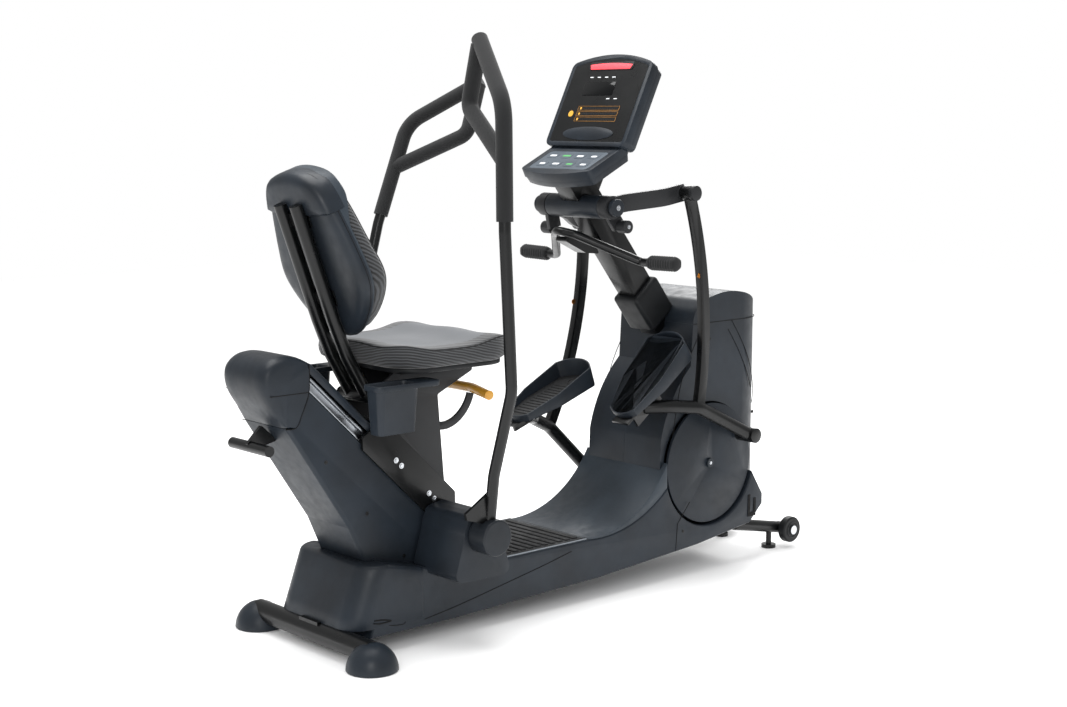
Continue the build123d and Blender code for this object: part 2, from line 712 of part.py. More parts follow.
def seat_post():
    """Welded bracket from the carriage up to the seat pan, with the back hinge lugs."""
    low, high = rail_point(30, 64.5), rail_point(250, 64.5)
    cheek = outline([low, high, (128, 590), (146, 624), (200, 660), (440, 660), (440, 640), (330, 590)], 6)
    post = slab(cheek, -72, -64) + slab(cheek, 64, 72)
    post += Pos(310, 0, 664) * Box(260, 250, 8)
    post += Pos(300, 0, 600) * Box(8, 128, 70)
    post -= rod(BACK_HINGE, -90, 90, 8 + RUN)
    return post + rod(LEVER_PIVOT, -66, -50, 8)


def seat_plan(margin=0.0):
    """Seat outline from above, with well rounded corners."""
    long, wide = SEAT_LONG + 2 * margin, 2 * (SEAT_HALF + margin)
    return Pos(SEAT_MIDDLE, 0) * RectangleRounded(long, wide, 95 + margin)


def seat_pan():
    return extrude(Pos(0, 0, 668.2) * seat_plan(-18), 12)


def seat_cushion():
    cushion = extrude(Pos(0, 0, 680.4) * seat_plan(), 62)
    return fillet(cushion.edges().group_by(Axis.Z)[-1], 22)


def back_frame():
    """Location at the foot of the backrest: local x up the back, local z to the rear."""
    return tilted(108, 772, 110)


def back_point(up, rear):
    """Side-view point at a height up the backrest and a distance behind its seam."""
    angle = math.radians(110)
    return (108 + up * math.cos(angle) - rear * math.sin(angle),
            772 + up * math.sin(angle) + rear * math.cos(angle))


BACK_TUBE_Y, BACK_TUBE_R = 32.0, 16.0
BACK_LINE = [BACK_HINGE, (86, 704), back_point(36, 48), back_point(330, 48)]


def back_tubes():
    """Two bent tubes from the hinge up behind the backrest."""
    frame = rod(BACK_HINGE, -62, 62, 17)
    for y in (-BACK_TUBE_Y, BACK_TUBE_Y):
        frame += tube([(x, y, z) for x, z in BACK_LINE], BACK_TUBE_R, 45)
    frame += rod(BACK_HINGE, -78, 78, 8)
    for up in (90, 290):
        frame += back_frame() * Pos(up, 0, 31) * Box(40, 90, 2.5, align=ON_TOP)
        frame += back_frame() * Pos(up, 0, 38) * Box(30, 66, 14)
    return frame


def back_plan(margin=0.0):
    """Backrest seen square on: narrow foot, full middle, rounded top."""
    half = [(-14, -96), (110, -166), (290, -150), (392, -70)]
    face = outline(half + [(x, -y) for x, y in reversed(half)], 45)
    return offset(face, margin) if margin else face


def back_shell():
    """Moulded shell behind the cushion, open towards it."""
    return back_frame() * (extrude(back_plan(), 28) - extrude(back_plan(-4), 24))


def back_cushion():
    """Pad that is thickest at the small of the back."""
    pad = extrude(back_plan(), -60)
    wedge = Location((0, 0, -62), (0, 6.5, 0)) * Box(900, 400, 100, align=BELOW)
    return back_frame() * (Pos(0, 0, -0.5) * (pad - wedge))


def seat_bin():
    """Open holder beside the seat, right side."""
    rim = extrude(Pos(140, -176, 640) * RectangleRounded(190, 70, 20), 12)
    cup = extrude(Pos(112, -176, 640) * RectangleRounded(120, 60, 18), -105, taper=4)
    inner = extrude(Pos(112, -176, 652) * RectangleRounded(108, 50, 14), -112, taper=4)
    return rim + cup - inner


LEVER_PIVOT = (290.0, 500.0)


def lever():
    """Seat release lever: round cam plate, curved flat arm and a T-grip."""
    plate = rod(LEVER_PIVOT, -60, -53, 44, 8 + RUN)
    arm_bar = bar([(318, 520), (372, 508), (420, 535), (446, 580)], 20, -60, -53)
    grip = tube([(430, -150, 586), (452, -57, 592), (452, 57, 592), (430, 150, 586)], 12, 60)
    return plate + arm_bar, grip


def opposite_phase(name, piece):
    """Carry a left-hand linkage piece half a turn of the crank on from its mirror image."""
    if name == "rocker":
        return turned(piece, PIVOT, ROCKER_SWING)
    piece = turned(piece, LINK_PIN, COUPLER_SWING - ROCKER_SWING)
    return turned(piece, PIVOT, ROCKER_SWING)


def build():
    os.makedirs("parts", exist_ok=True)
    write("base_beam", base_beam())
    write("rear_stabiliser", rear_stabiliser())
    write("floor_feet", rear_foot(), mirrored(rear_foot()), levelling_foot(-1), levelling_foot(1))
    write("front_stabiliser", front_stabiliser())
    write("wheel_right", wheel())
    write("wheel_left", mirrored(wheel()))
    write("wheel_bolts", wheel_bolt(), mirrored(wheel_bolt()))
    write("base_cover_right", base_cover())
    write("base_cover_left", mirrored(base_cover()))
    write("step_mat", *step_mat())
    write("footwell_cover", footwell_cover())
    write("drive_cover_right", drive_cover())
    write("drive_cover_left", mirrored(drive_cover()))
    write("drive_top_cap", drive_top_cap())
    write("mast", mast())
    write("mast_boot", mast_boot())
    write("pivot_tube", pivot_tube())
    write("pivot_shaft", pivot_shaft())
    write("crank_axle", crank_axle())
    write("crank_discs", *crank_discs())
    write("crank_pulley", crank_pulley())
    write("drive_belt", drive_belt())
    write("flywheel", flywheel())
    write("drive_bearings", *drive_bearings())
    write("handlebar", handlebar())
    write("handlebar_grips", handlebar_grip(), mirrored(handlebar_grip()))
    write("console_rear_shell", console_rear_shell())
    write("console_front_shell", console_front_shell())
    write("console_panel", console_panel())
    write("console_keypad", console_keypad())
    write("tower_post", tower_post())
    write("tower_cover", tower_cover())
    write("tower_head_cap", tower_head_cap())
    write("seat_rails", *seat_rails())
    write("lift_handle", lift_handle())
    pieces = {"rocker": rocker(), "foot_link": foot_link(), "pedal": pedal(), "tread": tread()}
    for name, piece in pieces.items():
        write(f"{name}_right", piece)
        write(f"{name}_left", opposite_phase(name, mirrored(piece)))
    for name, piece in {"arm": arm(), "arm_foam": arm_foam(), "arm_hub": arm_hub()}.items():
        write(f"{name}_right", piece)
        write(f"{name}_left", turned(mirrored(piece), ARM_PIVOT, ARM_SWING))
    write("carriage", carriage())
    write("carriage_rollers", *carriage_rollers())
    write("seat_post", seat_post())
    write("seat_pan", seat_pan())
    write("seat_cushion", seat_cushion())
    write("back_tubes", back_tubes())
    write("back_shell", back_shell())
    write("back_cushion", back_cushion())
    write("seat_bins", seat_bin(), mirrored(seat_bin()))
    write("lever", *lever())


build()
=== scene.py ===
"""Builds the visual model of a seated elliptical trainer round its CAD frame."""
import math

import bmesh
import bpy
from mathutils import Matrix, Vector


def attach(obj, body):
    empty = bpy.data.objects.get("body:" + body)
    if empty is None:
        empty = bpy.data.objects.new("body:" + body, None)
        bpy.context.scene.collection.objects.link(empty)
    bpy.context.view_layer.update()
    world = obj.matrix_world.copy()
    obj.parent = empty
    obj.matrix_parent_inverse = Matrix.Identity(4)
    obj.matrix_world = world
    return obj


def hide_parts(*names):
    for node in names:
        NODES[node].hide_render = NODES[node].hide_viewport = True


bl_info = {
    "name": "Seated Elliptical Trainer",
    "version": (1, 0, 0),
    "blender": (4, 2, 0),
    "location": "View3D > Sidebar > Trainer",
    "description": "Finishes and detail pieces of a seated elliptical trainer",
    "category": "Object",
}

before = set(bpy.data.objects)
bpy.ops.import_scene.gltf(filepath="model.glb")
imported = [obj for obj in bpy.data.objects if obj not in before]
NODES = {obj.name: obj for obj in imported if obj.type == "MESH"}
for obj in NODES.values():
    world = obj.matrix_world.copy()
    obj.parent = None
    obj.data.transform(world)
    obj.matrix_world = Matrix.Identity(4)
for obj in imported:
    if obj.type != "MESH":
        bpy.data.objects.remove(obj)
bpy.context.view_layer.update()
MM = 0.001
MID_X = 732.1               # rear stabiliser tube to the middle of the machine, mm
BASE_SIDE = 160.0           # half width of the base covers
HOUSING_SIDE = 140.0        # half width of the drive housing
TOWER_SIDE = 92.0           # half width of the seat tower
HOUSING_BOW_START = 1380.0  # where the housing's flat sides end and its bowed front begins
HOUSING_BOW_DEPTH = 126.0
CRANK = (1232.0, 308.0)
CRANK_DISC_FACE = 153.2     # outer face of a crank disc, from the middle
PIVOT = (870.0, 1030.0)     # shaft that carries both rockers
LINK_PIN = (1085.0, 1064.0)  # right-hand pin from rocker to foot link, at rest
LEFT_ROCKER_TURN = 25.9     # how far the left rocker stands forward of the right one, degrees
LEFT_LINK_TURN = -8.3       # and how far its foot link has turned about its pin
WHEEL = (1612.0, 52.0)
WHEEL_FACE = 146.0
FOOT_OUT = 235.0            # rear foot, from the middle
SIDES = ((-1, "right"), (1, "left"))
RAIL_LOW, RAIL_ANGLE = (327.0, 288.0), 43.8

# A frame is the side-view place of its corner, its tilt, and the y of its corner, in mm.
CONSOLE = (900.0, 1215.0, 63.6, 0.0)
SHELF = (772.0, 1122.0, 26.0, 0.0)
BACK = (108.0, 772.0, 110.0, 0.0)
PEDAL = (921.0, 466.0, 36.7, -187.0)
LEVEL = (0.0, 0.0, 0.0, 0.0)


# ---------------------------------------------------------------- places and meshes
def at(frame, x, y, z):
    """Row-frame point, in metres, of a point given in mm in one of the frames above."""
    corner_x, corner_z, tilt, corner_y = frame
    along, up = math.cos(math.radians(tilt)), math.sin(math.radians(tilt))
    return Vector((corner_x + x * along - z * up - MID_X, corner_y + y,
                   corner_z + x * up + z * along)) * MM


def spot(x, y, z):
    return at(LEVEL, x, y, z)


def turned(point, centre, degrees):
    """A side-view point carried round a centre; positive tips the top forward."""
    angle = math.radians(degrees)
    x, z = point[0] - centre[0], point[2] - centre[1]
    return (centre[0] + x * math.cos(angle) + z * math.sin(angle), point[1],
            centre[1] - x * math.sin(angle) + z * math.cos(angle))


def finish_piece(obj, body, smooth=35.0):
    """Shade by angle, then let the piece ride on its body."""
    obj.data.shade_smooth()
    obj.data.set_sharp_from_angle(angle=math.radians(smooth))
    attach(obj, body)
    return obj


def new_object(name, points, faces, finishes, edges=()):
    mesh = bpy.data.meshes.new(name)
    mesh.from_pydata([tuple(p) for p in points], list(edges), faces)
    for finish in finishes:
        mesh.materials.append(finish)
    obj = bpy.data.objects.new(name, mesh)
    bpy.context.scene.collection.objects.link(obj)
    return obj


def outward(obj):
    """Merge doubles and make the faces point out."""
    form = bmesh.new()
    form.from_mesh(obj.data)
    bmesh.ops.remove_doubles(form, verts=form.verts, dist=0.00002)
    bmesh.ops.recalc_face_normals(form, faces=form.faces)
    form.to_mesh(obj.data)
    form.free()


def settle(obj):
    """Turn what the modifiers make into the object's own plain mesh."""
    graph = bpy.context.evaluated_depsgraph_get()
    mesh = bpy.data.meshes.new_from_object(obj.evaluated_get(graph), depsgraph=graph)
    obj.modifiers.clear()
    obj.data = mesh
    return obj


def bevel(obj, width, segments=2, angle=32.0):
    edge = obj.modifiers.new("edge", "BEVEL")
    edge.width = width * MM
    edge.segments = segments
    edge.limit_method = "ANGLE"
    edge.angle_limit = math.radians(angle)
    edge.harden_normals = False
    return settle(obj)


def rings_mesh(name, rings, finishes, bands=None):
    """Skin over closed rings of points, with the first and last closed to their middles."""
    count = len(rings[0])
    points = [p for ring in rings for p in ring]
    faces = []
    for level in range(len(rings) - 1):
        for i in range(count):
            j = (i + 1) % count
            low, high = level * count, (level + 1) * count
            faces.append((low + i, low + j, high + j, high + i))
    for ring, level in ((rings[0], 0), (rings[-1], len(rings) - 1)):
        points.append(sum((Vector(p) for p in ring), Vector()) / count)
        for i in range(count):
            faces.append((level * count + i, level * count + (i + 1) % count, len(points) - 1))
    obj = new_object(name, points, faces, finishes)
    if bands:
        for index, face in enumerate(obj.data.polygons):
            face.material_index = bands(min(index // count, len(rings) - 1), face.center)
    outward(obj)
    return obj


def prism_faces(count):
    """Two end faces and the sides between them, for two outlines of count points."""
    faces = [tuple(range(count)), tuple(range(count, 2 * count))]
    return faces + [(i, (i + 1) % count, count + (i + 1) % count, count + i) for i in range(count)]


def prism(name, frame, outline, low, high, finish):
    """Flat plate standing on a frame: outline in local x and y, between two local heights."""
    points = [at(frame, x, y, height) for height in (low, high) for x, y in outline]
    obj = new_object(name, points, prism_faces(len(outline)), [finish])
    outward(obj)
    return obj


def rounded_rectangle(x0, x1, y0, y1, radius, steps=5):
    corners = ((x1 - radius, y1 - radius, 0), (x0 + radius, y1 - radius, 90),
               (x0 + radius, y0 + radius, 180), (x1 - radius, y0 + radius, 270))
    outline = []
    for cx, cy, start in corners:
        for i in range(steps + 1):
            angle = math.radians(start + 90 * i / steps)
            outline.append((cx + radius * math.cos(angle), cy + radius * math.sin(angle)))
    return outline


def circle(cx, cy, radius, count=40):
    turns = [2 * math.pi * i / count for i in range(count)]
    return [(cx + radius * math.cos(t), cy + radius * math.sin(t)) for t in turns]


def smooth_line(points, steps=8, closed=False):
    """Points of a curve that runs through all the given points."""
    points = [Vector(p) for p in points]
    count = len(points)
    spans = count if closed else count - 1
    line = []
    for i in range(spans):
        if closed:
            a, b, c, d = (points[(i + k) % count] for k in (-1, 0, 1, 2))
        else:
            a, b = points[max(i - 1, 0)], points[i]
            c, d = points[i + 1], points[min(i + 2, count - 1)]
        for step in range(steps):
            t = step / steps
            line.append(0.5 * (2 * b + (c - a) * t + (2 * a - 5 * b + 4 * c - d) * t * t
                               + (3 * b - a - 3 * c + d) * t ** 3))
    if not closed:
        line.append(points[-1])
    return line


# ---------------------------------------------------------------- geometry node trees
def add(tree, kind, settings=None, **links):
    """A node with its settings; links give its sockets a value or another node's output."""
    node = tree.nodes.new(kind)
    for key, value in (settings or {}).items():
        setattr(node, key, value)
    for key, value in links.items():
        socket = node.inputs[int(key[1:])] if key[0] == "i" and key[1:].isdigit() else \
            node.inputs[key.replace("_", " ")]
        if isinstance(value, bpy.types.NodeSocket):
            tree.links.new(value, socket)
        else:
            socket.default_value = value
    return node


def new_tree(name, inputs):
    """Geometry tree with a mesh input, named inputs and a mesh output."""
    tree = bpy.data.node_groups.new(name, "GeometryNodeTree")
    tree.interface.new_socket("Geometry", in_out="INPUT", socket_type="NodeSocketGeometry")
    for label, kind in inputs:
        tree.interface.new_socket(label, in_out="INPUT", socket_type=kind)
    tree.interface.new_socket("Geometry", in_out="OUTPUT", socket_type="NodeSocketGeometry")
    return tree, tree.nodes.new("NodeGroupInput")


def end_tree(tree, start, geometry):
    solid = add(tree, "GeometryNodeRealizeInstances", Geometry=geometry)
    painted = add(tree, "GeometryNodeSetMaterial", Geometry=solid.outputs[0],
                  Material=start.outputs["Material"])
    result = tree.nodes.new("NodeGroupOutput")
    tree.links.new(painted.outputs[0], result.inputs[0])
    return tree


def path_tree():
    """A round strand that follows the edges of a line."""
    tree, start = new_tree("strand on a path", (("Radius", "NodeSocketFloat"),
                                                ("Material", "NodeSocketMaterial")))
    curve = add(tree, "GeometryNodeMeshToCurve", Mesh=start.outputs["Geometry"])
    section = add(tree, "GeometryNodeCurvePrimitiveCircle", Resolution=10,
                  Radius=start.outputs["Radius"])
    skin = add(tree, "GeometryNodeCurveToMesh", Curve=curve.outputs[0],
               Profile_Curve=section.outputs[0], Fill_Caps=True)
    return end_tree(tree, start, skin.outputs[0])


def stud_tree():
    """Screw heads with a flange and a hexagon socket, one on each point, along its 'way'."""
    tree, start = new_tree("socket heads", (("Radius", "NodeSocketFloat"),
                                            ("Height", "NodeSocketFloat"),
                                            ("Material", "NodeSocketMaterial")))
    radius, height = start.outputs["Radius"], start.outputs["Height"]

    def scaled(value, factor):
        product = add(tree, "ShaderNodeMath", {"operation": "MULTIPLY"}, i0=value, i1=factor)
        return product.outputs[0]

    flange = add(tree, "GeometryNodeMeshCylinder", Vertices=28, Radius=radius,
                 Depth=scaled(height, 0.7))
    head = add(tree, "GeometryNodeMeshCone", Vertices=28, Radius_Top=scaled(radius, 0.6),
               Radius_Bottom=scaled(radius, 0.74), Depth=height)
    socket = add(tree, "GeometryNodeMeshCylinder", Vertices=6, Radius=scaled(radius, 0.34),
                 Depth=scaled(height, 0.9))
    lift = add(tree, "ShaderNodeCombineXYZ", Z=height)
    raised = add(tree, "GeometryNodeTransform", Geometry=socket.outputs[0],
                 Translation=lift.outputs[0])
    both = add(tree, "GeometryNodeJoinGeometry")
    tree.links.new(flange.outputs[0], both.inputs[0])
    tree.links.new(head.outputs[0], both.inputs[0])
    drilled = add(tree, "GeometryNodeMeshBoolean", {"operation": "DIFFERENCE"})
    tree.links.new(both.outputs[0], drilled.inputs["Mesh 1"])
    tree.links.new(raised.outputs[0], drilled.inputs["Mesh 2"])
    way = add(tree, "GeometryNodeInputNamedAttribute", {"data_type": "FLOAT_VECTOR"}, Name="way")
    turn = add(tree, "FunctionNodeAlignRotationToVector", {"axis": "Z"}, Vector=way.outputs[0])
    placed = add(tree, "GeometryNodeInstanceOnPoints", Points=start.outputs["Geometry"],
                 Instance=drilled.outputs[0], Rotation=turn.outputs[0])
    return end_tree(tree, start, placed.outputs[0])


def row_tree():
    """Equal blocks set along a line, such as slots, ticks and ribs."""
    tree, start = new_tree("row of blocks", (("Size", "NodeSocketVector"),
                                             ("Material", "NodeSocketMaterial")))
    block = add(tree, "GeometryNodeMeshCube", Size=start.outputs["Size"])
    way = add(tree, "GeometryNodeInputNamedAttribute", {"data_type": "FLOAT_VECTOR"}, Name="way")
    turn = add(tree, "FunctionNodeAlignRotationToVector", {"axis": "Z"}, Vector=way.outputs[0])
    placed = add(tree, "GeometryNodeInstanceOnPoints", Points=start.outputs["Geometry"],
                 Instance=block.outputs[0], Rotation=turn.outputs[0])
    return end_tree(tree, start, placed.outputs[0])


def run_tree(obj, tree, **inputs):
    """Give an object a node tree, set its named inputs and keep only the mesh it makes."""
    modifier = obj.modifiers.new("tree", "NODES")
    modifier.node_group = tree
    for item in tree.interface.items_tree:
        if item.in_out == "INPUT" and item.name in inputs:
            modifier[item.identifier] = inputs[item.name]
    return settle(obj)


def strands(name, lines, radius, finish, body):
    """Thin round strands along several lines, as one piece."""
    points, edges = [], []
    for line in lines:
        first = len(points)
        points += line
        edges += [(i, i + 1) for i in range(first, len(points) - 1)]
    obj = new_object(name, points, [], [], edges)
    run_tree(obj, TREES["path"], Radius=radius * MM, Material=finish)
    outward(obj)
    return finish_piece(obj, body, 60.0)


def on_points(name, places, tree, finish, body, slot, **inputs):
    """A repeated detail: places are pairs of a point and the way it faces."""
    obj = new_object(name, [p for p, _ in places], [], [])
    ways = obj.data.attributes.new("way", "FLOAT_VECTOR", "POINT")
    for item, (_, way) in zip(ways.data, places):
        item.vector = way
    run_tree(obj, tree, Material=finish, **inputs)
    return finish_piece(obj, body, 25.0)


def studs(name, places, radius, height, finish, body, slot="bright_chrome"):
    return on_points(name, places, TREES["stud"], finish, body, slot,
                     Radius=radius * MM, Height=height * MM)


# ---------------------------------------------------------------- materials
def linear(code):
    """sRGB hex colour as linear RGBA."""
    values = [int(code[i:i + 2], 16) / 255 for i in (1, 3, 5)]
    return tuple(v / 12.92 if v <= 0.04045 else ((v + 0.055) / 1.055) ** 2.4
                 for v in values) + (1.0,)


class Finish:
    """A node material with object coordinates, to which patterns are added."""

    def __init__(self, name, colour, roughness, **sockets):
        self.material = bpy.data.materials.new(name)
        self.material.use_nodes = True
        self.tree = self.material.node_tree
        self.shader = self.tree.nodes["Principled BSDF"]
        self.shader.inputs["Base Color"].default_value = linear(colour)
        self.shader.inputs["Roughness"].default_value = roughness
        for key, value in sockets.items():
            self.shader.inputs[key.replace("_", " ")].default_value = value
        self.place = add(self.tree, "ShaderNodeTexCoord").outputs["Object"]
        self.height = None

    def noise(self, size, detail=4.0, stretch=(1, 1, 1)):
        """Noise whose patches are about size mm across."""
        spread = add(self.tree, "ShaderNodeMapping", Vector=self.place, Scale=stretch)
        return add(self.tree, "ShaderNodeTexNoise", Vector=spread.outputs[0],
                   Scale=1000.0 / size, Detail=detail).outputs[0]

    def cells(self, size):
        return add(self.tree, "ShaderNodeTexVoronoi", Vector=self.place,
                   Scale=1000.0 / size).outputs[0]

    def wave(self, size, direction, distortion=0.0, detail_scale=1.0):
        """Parallel ridges size mm apart that run across a direction."""
        turn = add(self.tree, "ShaderNodeVectorMath", {"operation": "DOT_PRODUCT"},
                   i0=self.place, i1=Vector(direction).normalized()[:])
        line = add(self.tree, "ShaderNodeCombineXYZ", X=turn.outputs["Value"])
        if distortion:
            wobble = add(self.tree, "ShaderNodeTexNoise", Vector=self.place, Scale=detail_scale)
            shift = add(self.tree, "ShaderNodeMath", {"operation": "MULTIPLY_ADD"},
                        i0=wobble.outputs[0], i1=distortion * MM, i2=turn.outputs["Value"])
            line = add(self.tree, "ShaderNodeCombineXYZ", X=shift.outputs[0])
        return add(self.tree, "ShaderNodeTexWave", {"wave_profile": "SIN"}, Vector=line.outputs[0],
                   Scale=1000.0 / size * 2 * math.pi / 20.0).outputs[1]

    def spread(self, value, low, high, out_low, out_high):
        return add(self.tree, "ShaderNodeMapRange", i0=value, i1=low, i2=high,
                   i3=out_low, i4=out_high).outputs[0]

    def colour(self, value, first, second):
        """Blend two colours by a pattern."""
        mix = add(self.tree, "ShaderNodeMix", {"data_type": "RGBA"})
        self.tree.links.new(value, mix.inputs[0])
        mix.inputs[6].default_value = linear(first)
        mix.inputs[7].default_value = linear(second)
        self.tree.links.new(mix.outputs[2], self.shader.inputs["Base Color"])
        return self

    def rough(self, value, low, high):
        ranged = self.spread(value, 0.3, 0.7, low, high)
        self.tree.links.new(ranged, self.shader.inputs["Roughness"])
        return self

    def bump(self, value, depth, strength=0.5):
        """Relief whose peaks stand depth mm high, over any relief that is already there."""
        relief = add(self.tree, "ShaderNodeBump", Strength=strength, Distance=depth * MM,
                     Height=value)
        if self.height:
            self.tree.links.new(self.height, relief.inputs["Normal"])
        self.height = relief.outputs[0]
        self.tree.links.new(self.height, self.shader.inputs["Normal"])
        return self


def make_finishes(look):
    """All the materials, each named for what the real one is."""
    finishes = {}

    def keep(key, finish):
        finishes[key] = finish.material
        return finish

    def moulded(key, name, dark, light, roughness):
        # Injection-moulded ABS: a fine spark-eroded grain that breaks up its satin shine.
        finish = keep(key, Finish(name, light, roughness, Specular_IOR_Level=0.3))
        cloudy = finish.noise(160, 3)
        finish.colour(finish.spread(cloudy, 0.35, 0.65, 0, 1), dark, light)
        finish.rough(finish.noise(24, 5), roughness - 0.05, roughness + 0.08)
        finish.bump(finish.noise(1.6, 3), 0.12, 0.28)
        return finish

    moulded("slate", "moulded ABS slate", look.cover_dark, look.cover_light, 0.40)
    moulded("slate_light", "moulded ABS slate, raised band", "#2a3138", "#333b43", 0.44)
    moulded("dark", "moulded ABS black", "#0e1012", "#15171a", 0.46)
    moulded("hub", "moulded nylon slate", "#171b20", "#1e2329", 0.44)
    moulded("keypad", "silicone membrane grey", "#4a525a", "#565f68", 0.50)
    # Gloss powder coat: a clear film with faint orange peel a few millimetres across.
    paint = keep("paint", Finish("powder coated steel black", "#08090a", 0.34, Coat_Weight=0.12,
                                 Coat_Roughness=0.12, Specular_IOR_Level=0.32))
    paint.bump(paint.noise(3.5, 2), 0.05, 0.2).rough(paint.noise(60, 4), 0.26, 0.38)
    # Satin powder coat: the same steel with a fine orange peel and a softer shine.
    satin = keep("satin_paint", Finish("satin powder coated steel grey", "#3b3e42", 0.42,
                                       Specular_IOR_Level=0.3))
    satin.bump(satin.noise(1.8, 3), 0.06, 0.3).colour(satin.noise(90, 3), "#1c1d1f", "#27282a")
    foam = keep("foam", Finish("closed cell foam", "#1b1d20", 0.92, Sheen_Weight=0.08,
                               Sheen_Roughness=0.6))
    foam.bump(foam.cells(1.8), 0.35, 0.5).colour(foam.noise(30, 4), "#0b0c0d", "#131416")
    rubber = keep("rubber", Finish("moulded rubber", "#101113", 0.66))
    rubber.bump(rubber.noise(2.2, 4), 0.15, 0.4).rough(rubber.noise(30, 4), 0.58, 0.78)
    steel = keep("steel", Finish("brushed stainless steel", "#a7abb0", 0.30, Metallic=1.0))
    brushed = steel.noise(1.2, 2, (0.05, 1, 0.05))
    steel.rough(brushed, 0.24, 0.42).bump(brushed, 0.02, 0.25)
    chrome = keep("chrome", Finish("bright zinc plated steel", "#cdd0d4", 0.16, Metallic=1.0))
    chrome.rough(chrome.noise(6, 4), 0.12, 0.24)
    bronze = keep("bronze", Finish("yellow passivated zinc", "#b7702a", 0.30, Metallic=1.0))
    bronze.colour(bronze.noise(7, 3), "#a25d1d", "#cf8a3a")
    cast = keep("cast", Finish("turned cast iron", "#3c3d40", 0.45, Metallic=0.8))
    cast.bump(cast.noise(2.0, 3), 0.08, 0.3)
    amber = keep("amber", Finish("amber vinyl sleeve", look.lever_colour, 0.38, Coat_Weight=0.3))
    amber.bump(amber.noise(2.6, 3), 0.10, 0.3)
    amber.colour(amber.noise(40, 3), "#b9811f", look.lever_colour)
    trim = keep("trim", Finish("anodised aluminium trim", "#8b9299", 0.36, Metallic=0.75))
    trim.rough(trim.noise(5, 3), 0.30, 0.46)
    # Ribbed upholstery: ridges 6.5 mm apart that waver slightly, with painted shade in the grooves
    # and a painted highlight on the ridge tops.
    for key, name, way in (("side_cloth", "ribbed upholstery dark", (0.25, 0.2, 1.0)),
                           ("back_cloth", "ribbed upholstery diagonal", (0.45, 0.9, 0.75))):
        cloth = keep(key, Finish(name, "#24272a", 0.80, Sheen_Weight=0.3, Sheen_Roughness=0.5))
        ridge = cloth.wave(6.5, way, 9.0, 16.0)
        # Painted shade and highlight: the colour follows the ridges, dark in the grooves and light on
        # the crests.
        cloth.colour(cloth.spread(ridge, 0.25, 0.75, 0, 1), "#0c0d0e", "#3c3e41")
        cloth.bump(ridge, 0.9, 0.6).bump(cloth.noise(0.9, 2), 0.10, 0.4)
    vinyl = keep("vinyl", Finish("smooth coated seat fabric", "#585b5f", 0.62, Sheen_Weight=0.15))
    vinyl.colour(vinyl.noise(120, 3), "#44474b", "#595c60").bump(vinyl.cells(1.3), 0.12, 0.35)
    piping = keep("piping", Finish("sewn piping black", "#131416", 0.7))
    piping.bump(piping.noise(1.1, 2), 0.15, 0.5)
    gap = keep("gap", Finish("shadowed joint line", "#050506", 0.9))
    gap.rough(gap.noise(10, 2), 0.85, 0.95)
    panel = keep("panel", Finish("printed polycarbonate black", "#08090a", 0.30, Coat_Weight=0.08,
                                 Coat_Roughness=0.1, Specular_IOR_Level=0.3))
    panel.rough(panel.noise(70, 4), 0.26, 0.34)
    window = keep("window", Finish("smoked window", "#020304", 0.08, Specular_IOR_Level=0.25))
    window.rough(window.noise(50, 3), 0.05, 0.09)
    # Only the red diffuser is a lamp; the screen-print inks get a faint emission too, a painted glow
    # that keeps the print bright.
    for key, name, colour, lamp_or_painted_glow in (("lamp", "lit red diffuser", "#f2404a", 0.7),
                                    ("white_ink", "white screen print", "#d6d9dc", 0.15),
                                    ("orange_ink", "orange screen print", "#9a6a24", 0.1),
                                    ("yellow_ink", "yellow screen print", "#c9962b", 0.15),
                                    ("green_ink", "green screen print", "#53a05c", 0.15)):
        ink = keep(key, Finish(name, colour, 0.45, Emission_Color=linear(colour),
                               Emission_Strength=lamp_or_painted_glow))
        ink.rough(ink.noise(5, 3), 0.4, 0.55)
    floor = keep("floor", Finish("matt studio floor", "#ffffff", 0.85, Specular_IOR_Level=0.0))
    floor.rough(floor.noise(300, 2), 0.8, 0.9)
    return finishes


TREES = {}
FINISH = {}


def dress(node, finish):
    """Give a CAD node its finish."""
    mesh = NODES[node].data
    mesh.materials.clear()
    mesh.materials.append(FINISH[finish])


def softened(node, finish, body, width, others=(), rule=None):
    """A copy of a CAD node with its hard edges eased, and other finishes where a rule says so."""
    form = bmesh.new()
    form.from_mesh(NODES[node].data)
    bmesh.ops.remove_doubles(form, verts=form.verts, dist=0.00001)
    bmesh.ops.dissolve_limit(form, angle_limit=math.radians(0.6), verts=form.verts,
                             edges=form.edges)
    mesh = bpy.data.meshes.new(node + "_eased")
    form.to_mesh(mesh)
    form.free()
    if "custom_normal" in mesh.attributes:
        mesh.attributes.remove(mesh.attributes["custom_normal"])
    mesh.materials.clear()
    for key in (finish,) + tuple(others):
        mesh.materials.append(FINISH[key])
    obj = bpy.data.objects.new(node + "_eased", mesh)
    bpy.context.scene.collection.objects.link(obj)
    for face in mesh.polygons:
        face.material_index = rule(face.center, face.normal) if rule else 0
    if width:
        bevel(obj, width)
    finish_piece(obj, body, 34.0)
    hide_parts(node)
    return obj


# ---------------------------------------------------------------- settings a user may change
class TRAINER_PG_look(bpy.types.PropertyGroup):
    cover_dark: bpy.props.StringProperty(
        name="Cover shade", description="Darker colour of the moulded covers", default="#191e24")
    cover_light: bpy.props.StringProperty(
        name="Cover colour", description="Lighter colour of the moulded covers", default="#212830")
    lever_colour: bpy.props.StringProperty(
        name="Lever colour", description="Colour of the seat lever's sleeve", default="#cf9a34")
    seat_crown: bpy.props.FloatProperty(
        name="Seat crown", description="How far the seat pad's front roll stands above its dip",
        default=0.016, unit="LENGTH", subtype="DISTANCE")
    joint_line: bpy.props.FloatProperty(
        name="Joint line", description="Radius of the dark lines where covers meet",
        default=0.0011, unit="LENGTH", subtype="DISTANCE")


